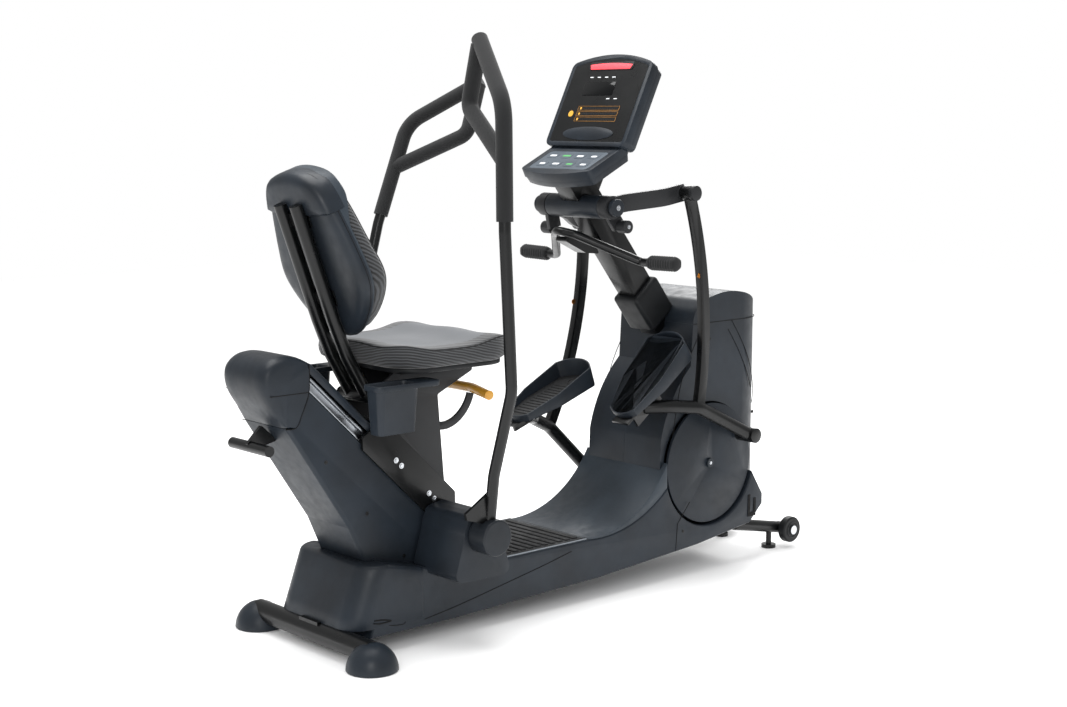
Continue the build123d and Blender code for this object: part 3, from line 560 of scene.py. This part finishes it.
# ---------------------------------------------------------------- carried-over metal and covers
class TRAINER_OT_covers(bpy.types.Operator):
    """Moulded covers of the base, the drive housing and the seat tower"""
    bl_idname = "trainer.covers"
    bl_label = "Covers"

    def execute(self, context):
        for node, width in (("base_cover_right", 2.5), ("base_cover_left", 2.5),
                            ("drive_cover_right", 0), ("drive_cover_left", 0),
                            ("drive_top_cap", 0), ("tower_cover", 2.0)):
            softened(node, "slate", "frame", width)
        softened("footwell_cover", "slate_light", "frame", 2.5)
        softened("crank_discs", "slate", "crank", 1.5)
        softened("mast_boot", "dark", "frame", 3.0)
        return {"FINISHED"}


class TRAINER_OT_frame_metal(bpy.types.Operator):
    """Steel frame, its feet, wheels, rails, mast and fixed handlebar"""
    bl_idname = "trainer.frame_metal"
    bl_label = "Frame"

    def execute(self, context):
        for node in ("base_beam", "rear_stabiliser", "front_stabiliser", "tower_post", "handlebar",
                     "lift_handle"):
            dress(node, "paint")
        for node, finish in (("drive_belt", "rubber"), ("drive_bearings", "steel"),
                             ("crank_pulley", "rubber"), ("flywheel", "cast"),
                             ("crank_axle", "slate")):
            dress(node, finish)
        softened("mast", "paint", "frame", 3.0)
        softened("pivot_shaft", "slate", "frame", 2.0)
        softened("pivot_tube", "slate", "frame", 1.5)
        softened("seat_rails", "steel", "frame", 1.0)
        softened("floor_feet", "slate", "frame", 0, ("paint",),
                 lambda middle, way: 1 if middle.x > 0 else 0)
        softened("step_mat", "rubber", "frame", 0.6, ("trim",),
                 lambda middle, way: 1 if self.on_rim(middle) else 0)
        for side in ("right", "left"):
            dress("wheel_" + side, "dark")
        dress("wheel_bolts", "chrome")
        self.foot_details()
        return {"FINISHED"}

    @staticmethod
    def on_rim(middle):
        """The bright rim round the mat is 5 mm wide."""
        x, y = middle.x / MM + MID_X, abs(middle.y / MM)
        return x < 435.2 or x > 754.8 or y > 147.8

    @staticmethod
    def foot_details():
        lines = []
        for side in (-1, 1):
            ring = circle(0, side * FOOT_OUT, 54.5, 48)
            lines.append([spot(x, y, 26) for x, y in ring + ring[:1]])
        strands("foot_joint_lines", lines, 0.7, FINISH["gap"], "frame")
        ring = circle(*WHEEL, 22, 48)
        for side, name in SIDES:
            lines = [[spot(x, side * (WHEEL_FACE - 4.5), z) for x, z in ring + ring[:1]]]
            strands(f"hub_ring_{name}_wheel", lines, 1.6, FINISH["satin_paint"], name + "_wheel")


class TRAINER_OT_cover_seams(bpy.types.Operator):
    """Joint lines, creases, latches and screws on the covers"""
    bl_idname = "trainer.cover_seams"
    bl_label = "Seams and screws"

    def execute(self, context):
        look = context.scene.trainer_look
        lines = []
        for side in (-1, 1):
            def line(points, half):
                return [spot(x, side * (half + 0.15), z) for x, z in points]

            base = [(x, 0, z) for x, z in ((214, 62), (330, 78), (500, 108), (620, 130), (700, 147))]
            lines.append(line([(p.x, p.z) for p in smooth_line(base, 10)], BASE_SIDE))
            hook = [(p.x, p.z) for p in smooth_line([(96, 0, 74), (116, 0, 66), (150, 0, 63),
                                                     (152, 0, 72), (128, 0, 76)], 6)]
            lines.append(line(hook, BASE_SIDE))
            rear = [(p.x, p.z) for p in smooth_line([(1060, 0, 300), (1078, 0, 420), (1112, 0, 560),
                                                     (1188, 0, 690)], 8)]
            lines.append(line([(x + 22, z) for x, z in rear], HOUSING_SIDE))
            cap = [(x, 700) for x in range(1174, 1500, 12)]
            blade = [(p.x, p.z) for p in smooth_line([(1330, 0, 699), (1372, 0, 640),
                                                      (1418, 0, 560), (1478, 0, 440)], 10)]
            for path in (cap, blade, [(x - 14, z - 24) for x, z in blade[:24]]):
                lines.append([spot(x, side * (self.housing_half(x) + 0.2), z) for x, z in path])
            split = [(1146, 210), (1098, 156), (1092, 80)]
            lines.append(line(split, BASE_SIDE))
            head = [(p.x, p.z) for p in smooth_line([(-128, 0, 560), (-100, 0, 562), (-84, 0, 590),
                                                     (-64, 0, 640), (-62, 0, 704)], 8)]
            lines.append(line(head, TOWER_SIDE))
            lines.append(line([(-170, 640), (-64, 640)], TOWER_SIDE))
        strands("cover_joint_lines", lines, look.joint_line / MM, FINISH["gap"], "frame")
        self.rear_nose()
        self.tower_head()
        screws = []
        for side in (-1, 1):
            way = Vector((0, side, 0))
            for x, z in ((-20, 470), (96, 330), (205, 208)):
                screws.append((spot(x, side * TOWER_SIDE, z), way))
            for x, z in ((1452, 236), (1462, 420), (1240, 655)):
                screws.append((spot(x, side * self.housing_half(x), z), way))
            screws.append((spot(1120, side * BASE_SIDE, 132), way))
        studs("cover_screws", screws, 5.0, 1.4, FINISH["paint"], "frame", "dark_plastic")
        axle_end = CRANK_DISC_FACE + 4.8
        centre = [(spot(CRANK[0], side * axle_end, CRANK[1]), Vector((0, side, 0)))
                  for side in (-1, 1)]
        studs("disc_bolts", centre, 4.5, 1.6, FINISH["chrome"], "crank")
        for side, name in SIDES:
            corner_x, corner_z = 1388.0, 130.0
            hook_plan = [(0, 64), (0, 0), (34, 0), (34, 52), (24, 52), (24, 12), (10, 12), (10, 64)]
            points = [spot(corner_x + x, side * (BASE_SIDE + proud), corner_z + z)
                      for proud in (-0.5, 1.6) for x, z in hook_plan]
            latch = new_object("latch_" + name, points, prism_faces(len(hook_plan)), [FINISH["gap"]])
            outward(latch)
            finish_piece(bevel(latch, 0.5, 1), "frame")
        return {"FINISHED"}

    @staticmethod
    def rear_nose():
        """Rounded rear end of the base, over the stabiliser tube."""
        half, front_end, foot = BASE_SIDE + 1.5, 210, 66
        rings = []
        for low, z, inset in ((-4, 66, 8), (-6, 67, 2), (-5, 70, 0), (6, 100, 0), (20, 138, 0),
                              (34, 176, 0), (45, 206, 0), (47, 211, 1), (50, 215, 4), (55, 217, 9)):
            box = (low + inset, front_end, -half + inset, half - inset)
            outline = rounded_rectangle(*box, 60 - inset, 10)
            front = rounded_rectangle(*box, 3, 10)
            plan = [q if q[0] > 130 else p for p, q in zip(outline, front)]
            # The top falls away towards the step mat.
            rings.append([spot(x, y, z - max(0.0, x - 108) * 0.235 * (z - foot) / 150)
                          for x, y in plan])
        nose = rings_mesh("base_rear_nose", rings, [FINISH["slate"]])
        finish_piece(nose, "frame", 40.0)
        slots = []
        for side in (-1, 1):
            path = smooth_line([(60, 0, 82), (80, 0, 78), (112, 0, 79), (84, 0, 86), (62, 0, 88)], 6)
            slots.append([spot(p.x, side * (half + 0.2), p.z) for p in path])
        strands("nose_hand_slots", slots, 1.8, FINISH["gap"], "frame")

    @staticmethod
    def tower_head():
        """Domed cap on top of the seat tower."""
        rim = [(-126, 0, 561), (-150, 0, 592), (-178, 0, 636), (-186, 0, 672), (-178, 0, 702),
               (-152, 0, 722), (-118, 0, 728), (-84, 0, 722), (-63, 0, 711)]
        outline = smooth_line(rim, 6)
        seam = [Vector((x, 0, z)) for x, z in ((-62.6, 690), (-62.6, 662), (-62.6, 641),
                                               (-76, 612), (-88, 586), (-100.6, 560.6))]
        middle = Vector((-112, 0, 656))
        rings = []
        for y, inset in ((-92, 24), (-90, 14), (-86, 8), (-78, 3.5), (-66, 0.8), (-50, 0), (50, 0),
                         (66, 0.8), (78, 3.5), (86, 8), (90, 14), (92, 24)):
            ring = []
            for p in outline:
                ends = min((p - outline[0]).length, (p - outline[-1]).length)
                share = min(1.0, 0.25 + ends / 60)
                ring.append(p + (middle - p).normalized() * inset * share)
            rings.append([spot(q.x, y, q.z) for q in ring + seam])
        head = rings_mesh("tower_head_dome", rings, [FINISH["slate"]])
        finish_piece(head, "frame", 45.0)
        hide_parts("tower_head_cap")

    @staticmethod
    def housing_half(x):
        """Half width of the housing: flat sides, then a bow across the front."""
        past = max(0.0, x - HOUSING_BOW_START) / HOUSING_BOW_DEPTH
        return HOUSING_SIDE * math.sqrt(max(0.0, 1 - past ** 2))


# ---------------------------------------------------------------- linkage and arms
class TRAINER_OT_linkage(bpy.types.Operator):
    """Rockers, foot links, pedals with their treads, and the swinging arms"""
    bl_idname = "trainer.linkage"
    bl_label = "Linkage"

    def execute(self, context):
        for side in ("right", "left"):
            softened("rocker_" + side, "satin_paint", side + "_rocker", 1.2)
            softened("foot_link_" + side, "paint", side + "_foot", 1.0)
            softened("pedal_" + side, "slate", side + "_foot", 2.2)
            softened("tread_" + side, "rubber", side + "_foot", 0.6)
            dress("arm_" + side, "paint")
            dress("arm_foam_" + side, "foam")
            softened("arm_hub_" + side, "hub", side + "_arm", 0)
            self.bolts(side)
        return {"FINISHED"}

    @staticmethod
    def linkage_point(side, x, y, z, on_link=True):
        """A right-hand place on a rocker or foot link, or the same place on the left-hand one."""
        if side == "right":
            return spot(x, -y, z)
        point = (x, y, z)
        if on_link:
            point = turned(point, LINK_PIN, LEFT_LINK_TURN)
        return spot(*turned(point, PIVOT, LEFT_ROCKER_TURN))

    def bolts(self, side):
        sign = -1 if side == "right" else 1
        out = Vector((0, sign, 0))
        rocker = [(self.linkage_point(side, 911, 150.2, 979, False), out)]
        studs("rocker_knob_bolt_" + side, rocker, 5.5, 2.2, FINISH["chrome"], side + "_rocker")
        shaft = [(spot(PIVOT[0], sign * 152.0, PIVOT[1]), out)]
        studs("pivot_bolt_" + side, shaft, 7.0, 3.0, FINISH["chrome"], "frame")
        link = [(self.linkage_point(side, 1123.5, 206.2, 842.0), out)]
        studs(f"link_bolt_{side}_0", link, 7.5, 2.6, FINISH["bronze"], side + "_foot")


# ---------------------------------------------------------------- seat
def pad_rings(outline, layers):
    """Rings for a pad: each layer scales the outline about its middle and gives a height rule."""
    middle = sum((Vector(p) for p in outline), Vector()) / len(outline)
    rings = []
    for scale, shift, height in layers:
        ring = []
        for p in outline:
            q = middle + (Vector(p) - middle) * scale
            length = (Vector(p) - middle).length
            q += (Vector(p) - middle) * (shift / length)
            ring.append((q.x, q.y, height(q.x, q.y)))
        rings.append(ring)
    return rings


class TRAINER_OT_seat(bpy.types.Operator):
    """Seat pad, its shell and the holders beside it"""
    bl_idname = "trainer.seat"
    bl_label = "Seat"

    def execute(self, context):
        crown = context.scene.trainer_look.seat_crown / MM
        self.cushion(crown)
        softened("seat_pan", "dark", "seat_carriage", 2.0)
        softened("seat_bins", "slate", "seat_carriage", 1.6)
        softened("seat_post", "satin_paint", "seat_carriage", 1.2)
        softened("carriage", "paint", "seat_carriage", 1.4)
        dress("carriage_rollers", "dark")
        softened("lever", "satin_paint", "release_lever", 0.8, ("amber", "dark"),
                 lambda middle, way: self.lever_part(middle))
        self.fittings()
        return {"FINISHED"}

    @staticmethod
    def lever_part(middle):
        """The T-shaped grip wears the coloured sleeve; the flat arm is bare."""
        y, z = middle.y / MM, middle.z / MM
        return 1 if z > 572 and not (-60.5 < y < -52.5 and z < 582) else 0

    @staticmethod
    def cushion(crown):
        half_long, half_wide, middle_x = 183.0, 205.0, 310.0

        def top(x, y):
            """Rear ledge, dip, then a rolled front edge; the two thighs lie in shallow channels."""
            u, v = (x - middle_x) / half_long, y / half_wide
            roll = math.exp(-((u - 0.62) / 0.30) ** 2) + 0.7 * math.exp(-((u + 0.95) / 0.35) ** 2)
            channel = math.exp(-((abs(v) - 0.45) / 0.28) ** 2)
            fall = max(0.0, max(abs(u), abs(v)) - 0.72) ** 2 * 60
            return 727.0 + crown * roll - 4.0 * channel - fall

        plan = [(middle_x + x, y, 0) for x, y in
                rounded_rectangle(-half_long, half_long, -half_wide, half_wide, 96, 14)]
        outline = []
        for i, p in enumerate(plan):
            following = plan[(i + 1) % len(plan)]
            steps = max(1, round((Vector(following) - Vector(p)).length / 8.0))
            outline += [tuple(Vector(p).lerp(Vector(following), k / steps)) for k in range(steps)]

        def under(share):
            """The underside sweeps up towards the front edge."""
            def height(x, y):
                low = 681 + 58 * max(0.0, (x - middle_x) / half_long - 0.45) ** 2
                return low * (1 - share) + (top(x, y) - 3.5) * share
            return height

        sides = [(1.0, -40, under(0)), (1.0, -9, under(0)), (1.0, -3, under(0.07)),
                 (1.0, 1.5, under(0.28)), (1.0, 2.5, under(0.5)), (1.0, 0.5, under(0.76)),
                 (1.0, -3.0, lambda x, y: top(x, y) - 3.5),
                 (1.0, -5.5, lambda x, y: top(x, y) - 3.6),
                 (1.0, -8.5, lambda x, y: top(x, y) - 0.4)]
        crowned = [(0.97 - 0.055 * i, -9 + 0.5 * i, top) for i in range(17)]
        rings = [[spot(*p) for p in ring] for ring in pad_rings(outline, sides + crowned)]
        pad = rings_mesh("seat_pad", rings, [FINISH["side_cloth"], FINISH["vinyl"]],
                         lambda level, middle: 1 if level >= len(sides) + 3 else 0)
        finish_piece(pad, "seat_carriage", 60.0)
        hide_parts("seat_cushion")
        seam_layer = (1.0, -4.6, lambda x, y: top(x, y) - 2.2)
        seam = [spot(*p) for p in pad_rings(outline, [seam_layer])[0]]
        strands("seat_piping", [seam + seam[:1]], 1.9, FINISH["piping"], "seat_carriage")

    @staticmethod
    def fittings():
        along = math.radians(RAIL_ANGLE)

        def rail(distance, off):
            return (RAIL_LOW[0] - distance * math.cos(along) + off * math.sin(along),
                    RAIL_LOW[1] + distance * math.sin(along) + off * math.cos(along))

        bolts = []
        for side in (-1, 1):
            for distance in (62, 84, 200, 222):
                x, z = rail(distance, 12)
                bolts.append((spot(x, side * 104.2, z), Vector((0, side, 0))))
        studs("carriage_bolts", bolts, 7.0, 2.6, FINISH["chrome"], "seat_carriage")
        cam = [(spot(290, -61.5, 500), Vector((0, -1, 0)))]
        studs("cam_bolt", cam, 11.0, 4.0, FINISH["chrome"], "release_lever")
        hinge = [(spot(146, side * 78.2, 600), Vector((0, side, 0))) for side in (-1, 1)]
        studs("recline_bolts", hinge, 12.0, 3.5, FINISH["satin_paint"], "backrest", "grey_paint")


class TRAINER_OT_backrest(bpy.types.Operator):
    """Backrest pad in its moulded shell, on two bent tubes"""
    bl_idname = "trainer.backrest"
    bl_label = "Backrest"

    def execute(self, context):
        half = [(-14, 0), (-12, 44), (22, 92), (78, 138), (134, 160), (205, 150), (290, 127),
                (352, 104), (382, 70)]
        edge = half + [(393, 0)] + [(u, -y) for u, y in reversed(half[1:])]
        outline = [tuple(p) for p in smooth_line([(u, y, 0) for u, y in edge], 9, closed=True)]

        def front(u, v):
            """Thickest at the small of the back, thinner at the top, and hollow between the sides."""
            lumbar = math.exp(-((u - 105) / 95) ** 2)
            return -(46.0 + 15.0 * lumbar - 5.0 * math.exp(-(v / 60) ** 2)
                     - 18 * max(0.0, (u - 250) / 140) ** 2)

        def deep(depth):
            return lambda u, v: depth

        def part(share):
            return lambda u, v: front(u, v) * share

        sides = [(1.0, -30, deep(-1)), (1.0, -7, deep(-1)), (1.0, -4, deep(-8)),
                 (1.0, -2.5, part(0.45)), (1.0, -3, part(0.70)), (1.0, -7, part(0.84)),
                 (1.0, -9, part(0.845)), (1.0, -13, part(0.92))]
        crowned = [(0.95 - 0.06 * i, -14 + 0.8 * i, part(min(1.0, 0.945 + 0.012 * i)))
                   for i in range(15)]
        rings = [[at(BACK, *p) for p in ring] for ring in pad_rings(outline, sides + crowned)]
        pad = rings_mesh("back_pad", rings, [FINISH["back_cloth"]])
        finish_piece(pad, "backrest", 60.0)
        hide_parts("back_cushion")
        seam = [at(BACK, *p) for p in pad_rings(outline, [(1.0, -8.0, part(0.85))])[0]]
        strands("back_piping", [seam + seam[:1]], 1.8, FINISH["piping"], "backrest")

        def hood(u, v):
            """The shell's rim reaches further forward round the top, like a hood."""
            rise = max(0.0, min(1.0, (u - 250) / 90))
            return -9.0 - 30.0 * rise * rise * (3 - 2 * rise)

        layers = [(1.0, -3.5, lambda u, v: hood(u, v) + 2.5), (1.0, -1.0, hood),
                  (1.0, 2.0, lambda u, v: hood(u, v) + 0.6),
                  (1.0, 3.5, lambda u, v: hood(u, v) + 3),
                  (1.0, 3.8, deep(-2)), (1.0, 3.0, deep(8)), (1.0, 0.0, deep(17)),
                  (1.0, -7, deep(24)), (0.93, -9, deep(27.5)), (0.8, -9, deep(28.5)),
                  (0.5, -6, deep(29)), (0.2, 0, deep(29))]
        rings = [[at(BACK, *p) for p in ring] for ring in pad_rings(outline, layers)]
        shell = rings_mesh("back_moulding", rings, [FINISH["slate"], FINISH["slate_light"]],
                           lambda level, middle: 1 if level < 4 else 0)
        finish_piece(shell, "backrest", 50.0)
        self.hood(outline)
        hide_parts("back_shell")
        band = [at(BACK, *p) for p in pad_rings(outline, [(1.0, 3.7, deep(4))])[0]]
        strands("back_joint_line", [band + band[:1]], 0.8, FINISH["gap"], "backrest")
        dress("back_tubes", "paint")
        screws = [(at(BACK, up, side * 22, 45.6), at(BACK, 0, 0, 1) - at(BACK, 0, 0, 0))
                  for up in (90, 290) for side in (-1, 1)]
        studs("back_screws", screws, 5.5, 2.0, FINISH["paint"], "backrest", "dark_plastic")
        return {"FINISHED"}

    @staticmethod
    def hood(outline):
        """Moulded cap over the top of the shell, proud of it behind and at the sides."""
        low = 302.0
        first = next(i for i, p in enumerate(outline) if p[0] > low)
        head = [p for p in outline[first:] + outline[:first] if p[0] > low]
        start, end = head[0], head[-1]
        foot = [(low - 8 * math.sin(math.pi * k / 16), end[1] + (start[1] - end[1]) * k / 16, 0)
                for k in range(1, 16)]
        head = head + foot
        layers = [(1.0, -16, -20), (1.0, 1.0, -20), (1.0, 4.4, -17), (1.0, 5.6, -8), (1.0, 5.6, 14),
                  (1.0, 3.6, 24), (1.0, -2.0, 32), (1.0, -11.0, 37), (0.7, -8, 39), (0.35, -4, 40)]
        rings = [[at(BACK, *p) for p in pad_rings(head, [(scale, shift, lambda u, v: depth)])[0]]
                 for scale, shift, depth in layers]
        cap = rings_mesh("back_hood", rings, [FINISH["slate"]])
        finish_piece(cap, "backrest", 50.0)


# ---------------------------------------------------------------- console
class TRAINER_OT_console(bpy.types.Operator):
    """Display head with its printed panel, keypad and hand grips"""
    bl_idname = "trainer.console"
    bl_label = "Console"

    def execute(self, context):
        softened("console_rear_shell", "slate", "frame", 2.5)
        softened("console_front_shell", "slate", "frame", 2.5)
        dress("console_panel", "panel")
        softened("console_keypad", "keypad", "frame", 0.5)
        self.print_panel()
        self.print_keys()
        self.grips()
        return {"FINISHED"}

    @staticmethod
    def plate(name, frame, outline, low, high, finish, slot, width=0.0):
        obj = prism(name, frame, outline, low, high, FINISH[finish])
        if width:
            bevel(obj, width, 2)
        return finish_piece(obj, "frame")

    def print_panel(self):
        self.plate("light_bar_rim", CONSOLE, rounded_rectangle(193, 217, -84, 84, 8), -0.5, 1.4,
                   "dark", "dark_plastic", 0.5)
        bar = [(213 - 0.0007 * y * y, y) for y in range(-80, 81, 8)]
        bar += [(195, 74), (195, -74)]
        self.plate("light_bar", CONSOLE, bar, 0.5, 2.2, "lamp", "black_gloss", 0.6)
        scoop = [(6 + 20 * u, 96 * v) for u, v in circle(0, 0, 1, 48)]
        self.plate("console_scoop", CONSOLE, scoop, 0.0, 1.2, "slate", "slate_plastic", 0.8)
        self.plate("display_window", CONSOLE, rounded_rectangle(118, 158, -40, 76, 4), -0.5, 0.9,
                   "window", "black_gloss", 0.3)
        out = at(CONSOLE, 0, 0, 1) - at(CONSOLE, 0, 0, 0)
        ticks = [(at(CONSOLE, up, y, 0.3), out) for up, start in ((172, 60), (108, -30))
                 for y in [start - 28 * i for i in range(4 if up > 150 else 2)]]
        on_points("panel_ticks", ticks, TREES["row"], FINISH["white_ink"], "frame", "black_gloss",
                  Size=(0.0025, 0.012, 0.0006))
        frames = []
        for low, high in ((74, 86), (58, 70), (42, 54)):
            corners = [(low, -86), (high, -86), (high, 70), (low, 70), (low, -86)]
            frames.append([at(CONSOLE, up, y, 0.4) for up, y in corners])
        strands("panel_table_lines", frames, 0.6, FINISH["orange_ink"], "frame")
        self.plate("panel_badge", CONSOLE, circle(64, 92, 9), -0.2, 0.9, "yellow_ink", "black_gloss")
        dots = [(at(CONSOLE, up, 60, 0.4), out) for up in (80, 64, 48)]
        studs("panel_dots", dots, 3.6, 0.5, FINISH["yellow_ink"], "frame", "black_gloss")
        rows = [(at(CONSOLE, up, y, 0.3), out) for up in (80, 64, 48) for y in range(-78, 50, 9)]
        on_points("panel_table_marks", rows, TREES["row"], FINISH["satin_paint"], "frame",
                  "black_gloss", Size=(0.0018, 0.006, 0.0005))

    def print_keys(self):
        for index, (x, y, ink, long) in enumerate((
                (90, 78, "white_ink", 12), (90, 26, "green_ink", 15), (90, -26, "white_ink", 12),
                (45, 78, "white_ink", 10), (45, 26, "white_ink", 12), (45, -26, "green_ink", 11),
                (90, -78, "white_ink", 10), (45, -78, "white_ink", 10))):
            outline = rounded_rectangle(x - 4, x + 4, y - long, y + long, 3)
            self.plate(f"key_mark_{index}", SHELF, outline, 0.2, 0.8, ink, "grey_keypad")

    @staticmethod
    def grips():
        """Rubber grips with a ribbed, six-sided hold."""
        for side, name in SIDES:
            start, end = spot(944, side * 165, 886), spot(940, side * 298, 889)
            run = (end - start).normalized()
            up = Vector((0, 0, 1))
            across = run.cross(up).normalized()
            rings = []
            steps = 46
            for i in range(steps + 1):
                share = i / steps
                place = start + run * (0.030 + 0.105 * share)
                rib = 0.9 * MM * (1 if i % 4 < 2 else -1) if 0.1 < share < 0.9 else 0.0
                swell = 1.0 - 0.35 * max(0.0, (0.06 - share) / 0.06) ** 2 \
                    - 0.35 * max(0.0, (share - 0.94) / 0.06) ** 2
                ring = []
                for k in range(36):
                    turn = 2 * math.pi * k / 36
                    hexagon = 1.0 / math.cos((turn + math.pi / 6) % (math.pi / 3) - math.pi / 6)
                    radius = (17.3 * MM + rib) * (0.6 * hexagon + 0.4) * swell
                    ring.append(place + across * radius * math.cos(turn)
                                + up * radius * math.sin(turn))
                rings.append(ring)
            grip = rings_mesh("hand_grip_" + name, rings, [FINISH["foam"]])
            finish_piece(grip, "frame", 40.0)
            if side == -1:
                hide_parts("handlebar_grips")


# ---------------------------------------------------------------- stage
class TRAINER_OT_stage(bpy.types.Operator):
    """Pale floor, soft studio lights and the camera"""
    bl_idname = "trainer.stage"
    bl_label = "Stage"

    def execute(self, context):
        scene = context.scene
        floor = new_object("floor", [(-9, -9, 0), (9, -9, 0), (9, 9, 0), (-9, 9, 0)], [(0, 1, 2, 3)],
                           [FINISH["floor"]])
        world = bpy.data.worlds.new("studio")
        scene.world = world
        world.use_nodes = True
        world.node_tree.nodes["Background"].inputs["Color"].default_value = (1, 1, 1, 1)
        self.dim_reflections(world.node_tree)
        for name, place, size, power in (("overhead", (-0.4, 0.4, 3.6), 2.6, 110),
                                         ("side", (-3.2, -3.0, 2.0), 1.6, 45),
                                         ("rear", (2.8, 1.6, 2.6), 2.0, 70)):
            light = bpy.data.lights.new(name, "AREA")
            light.size = size
            light.energy = power
            obj = bpy.data.objects.new(name, light)
            obj.location = place
            aim = Vector((0, 0, 0.6)) - Vector(place)
            obj.rotation_euler = aim.to_track_quat("-Z", "Y").to_euler()
            scene.collection.objects.link(obj)
        camera = bpy.data.cameras.new("camera")
        camera.sensor_width = 36.0
        camera.lens = 58.71
        view = bpy.data.objects.new("camera", camera)
        view.location = (-2.31 - MID_X * MM, -3.378, 1.285)
        heading, drop = math.radians(48.2), math.radians(8.0)
        look = Vector((math.cos(heading) * math.cos(drop), math.sin(heading) * math.cos(drop),
                       -math.sin(drop)))
        view.rotation_euler = look.to_track_quat("-Z", "Y").to_euler()
        scene.collection.objects.link(view)
        scene.camera = view
        scene.view_settings.view_transform = "Standard"
        return {"FINISHED"}

    @staticmethod
    def dim_reflections(tree):
        """The plastics mirror a studio half as bright as the white the camera sees."""
        rays = tree.nodes.new("ShaderNodeLightPath")
        mix = tree.nodes.new("ShaderNodeMapRange")
        mix.inputs["To Min"].default_value = 1.0
        mix.inputs["To Max"].default_value = 0.5
        tree.links.new(rays.outputs["Is Glossy Ray"], mix.inputs["Value"])
        tree.links.new(mix.outputs["Result"], tree.nodes["Background"].inputs["Strength"])


OPERATORS = (TRAINER_OT_covers, TRAINER_OT_frame_metal, TRAINER_OT_cover_seams, TRAINER_OT_linkage,
             TRAINER_OT_seat, TRAINER_OT_backrest, TRAINER_OT_console, TRAINER_OT_stage)


class TRAINER_PT_panel(bpy.types.Panel):
    """Sizes, colours and pieces of the trainer"""
    bl_idname = "TRAINER_PT_panel"
    bl_label = "Seated Trainer"
    bl_space_type = "VIEW_3D"
    bl_region_type = "UI"
    bl_category = "Trainer"

    def draw(self, context):
        for name in TRAINER_PG_look.__annotations__:
            self.layout.prop(context.scene.trainer_look, name)
        for operator in OPERATORS:
            self.layout.operator(operator.bl_idname)


CLASSES = (TRAINER_PG_look,) + OPERATORS + (TRAINER_PT_panel,)


def register():
    for item in CLASSES:
        bpy.utils.register_class(item)
    bpy.types.Scene.trainer_look = bpy.props.PointerProperty(type=TRAINER_PG_look)


def unregister():
    del bpy.types.Scene.trainer_look
    for item in reversed(CLASSES):
        bpy.utils.unregister_class(item)


def main():
    register()
    TREES.update(path=path_tree(), stud=stud_tree(), row=row_tree())
    FINISH.update(make_finishes(bpy.context.scene.trainer_look))
    for operator in OPERATORS:
        group, action = operator.bl_idname.split(".")
        getattr(getattr(bpy.ops, group), action)()


if __name__ == "__main__":
    main()
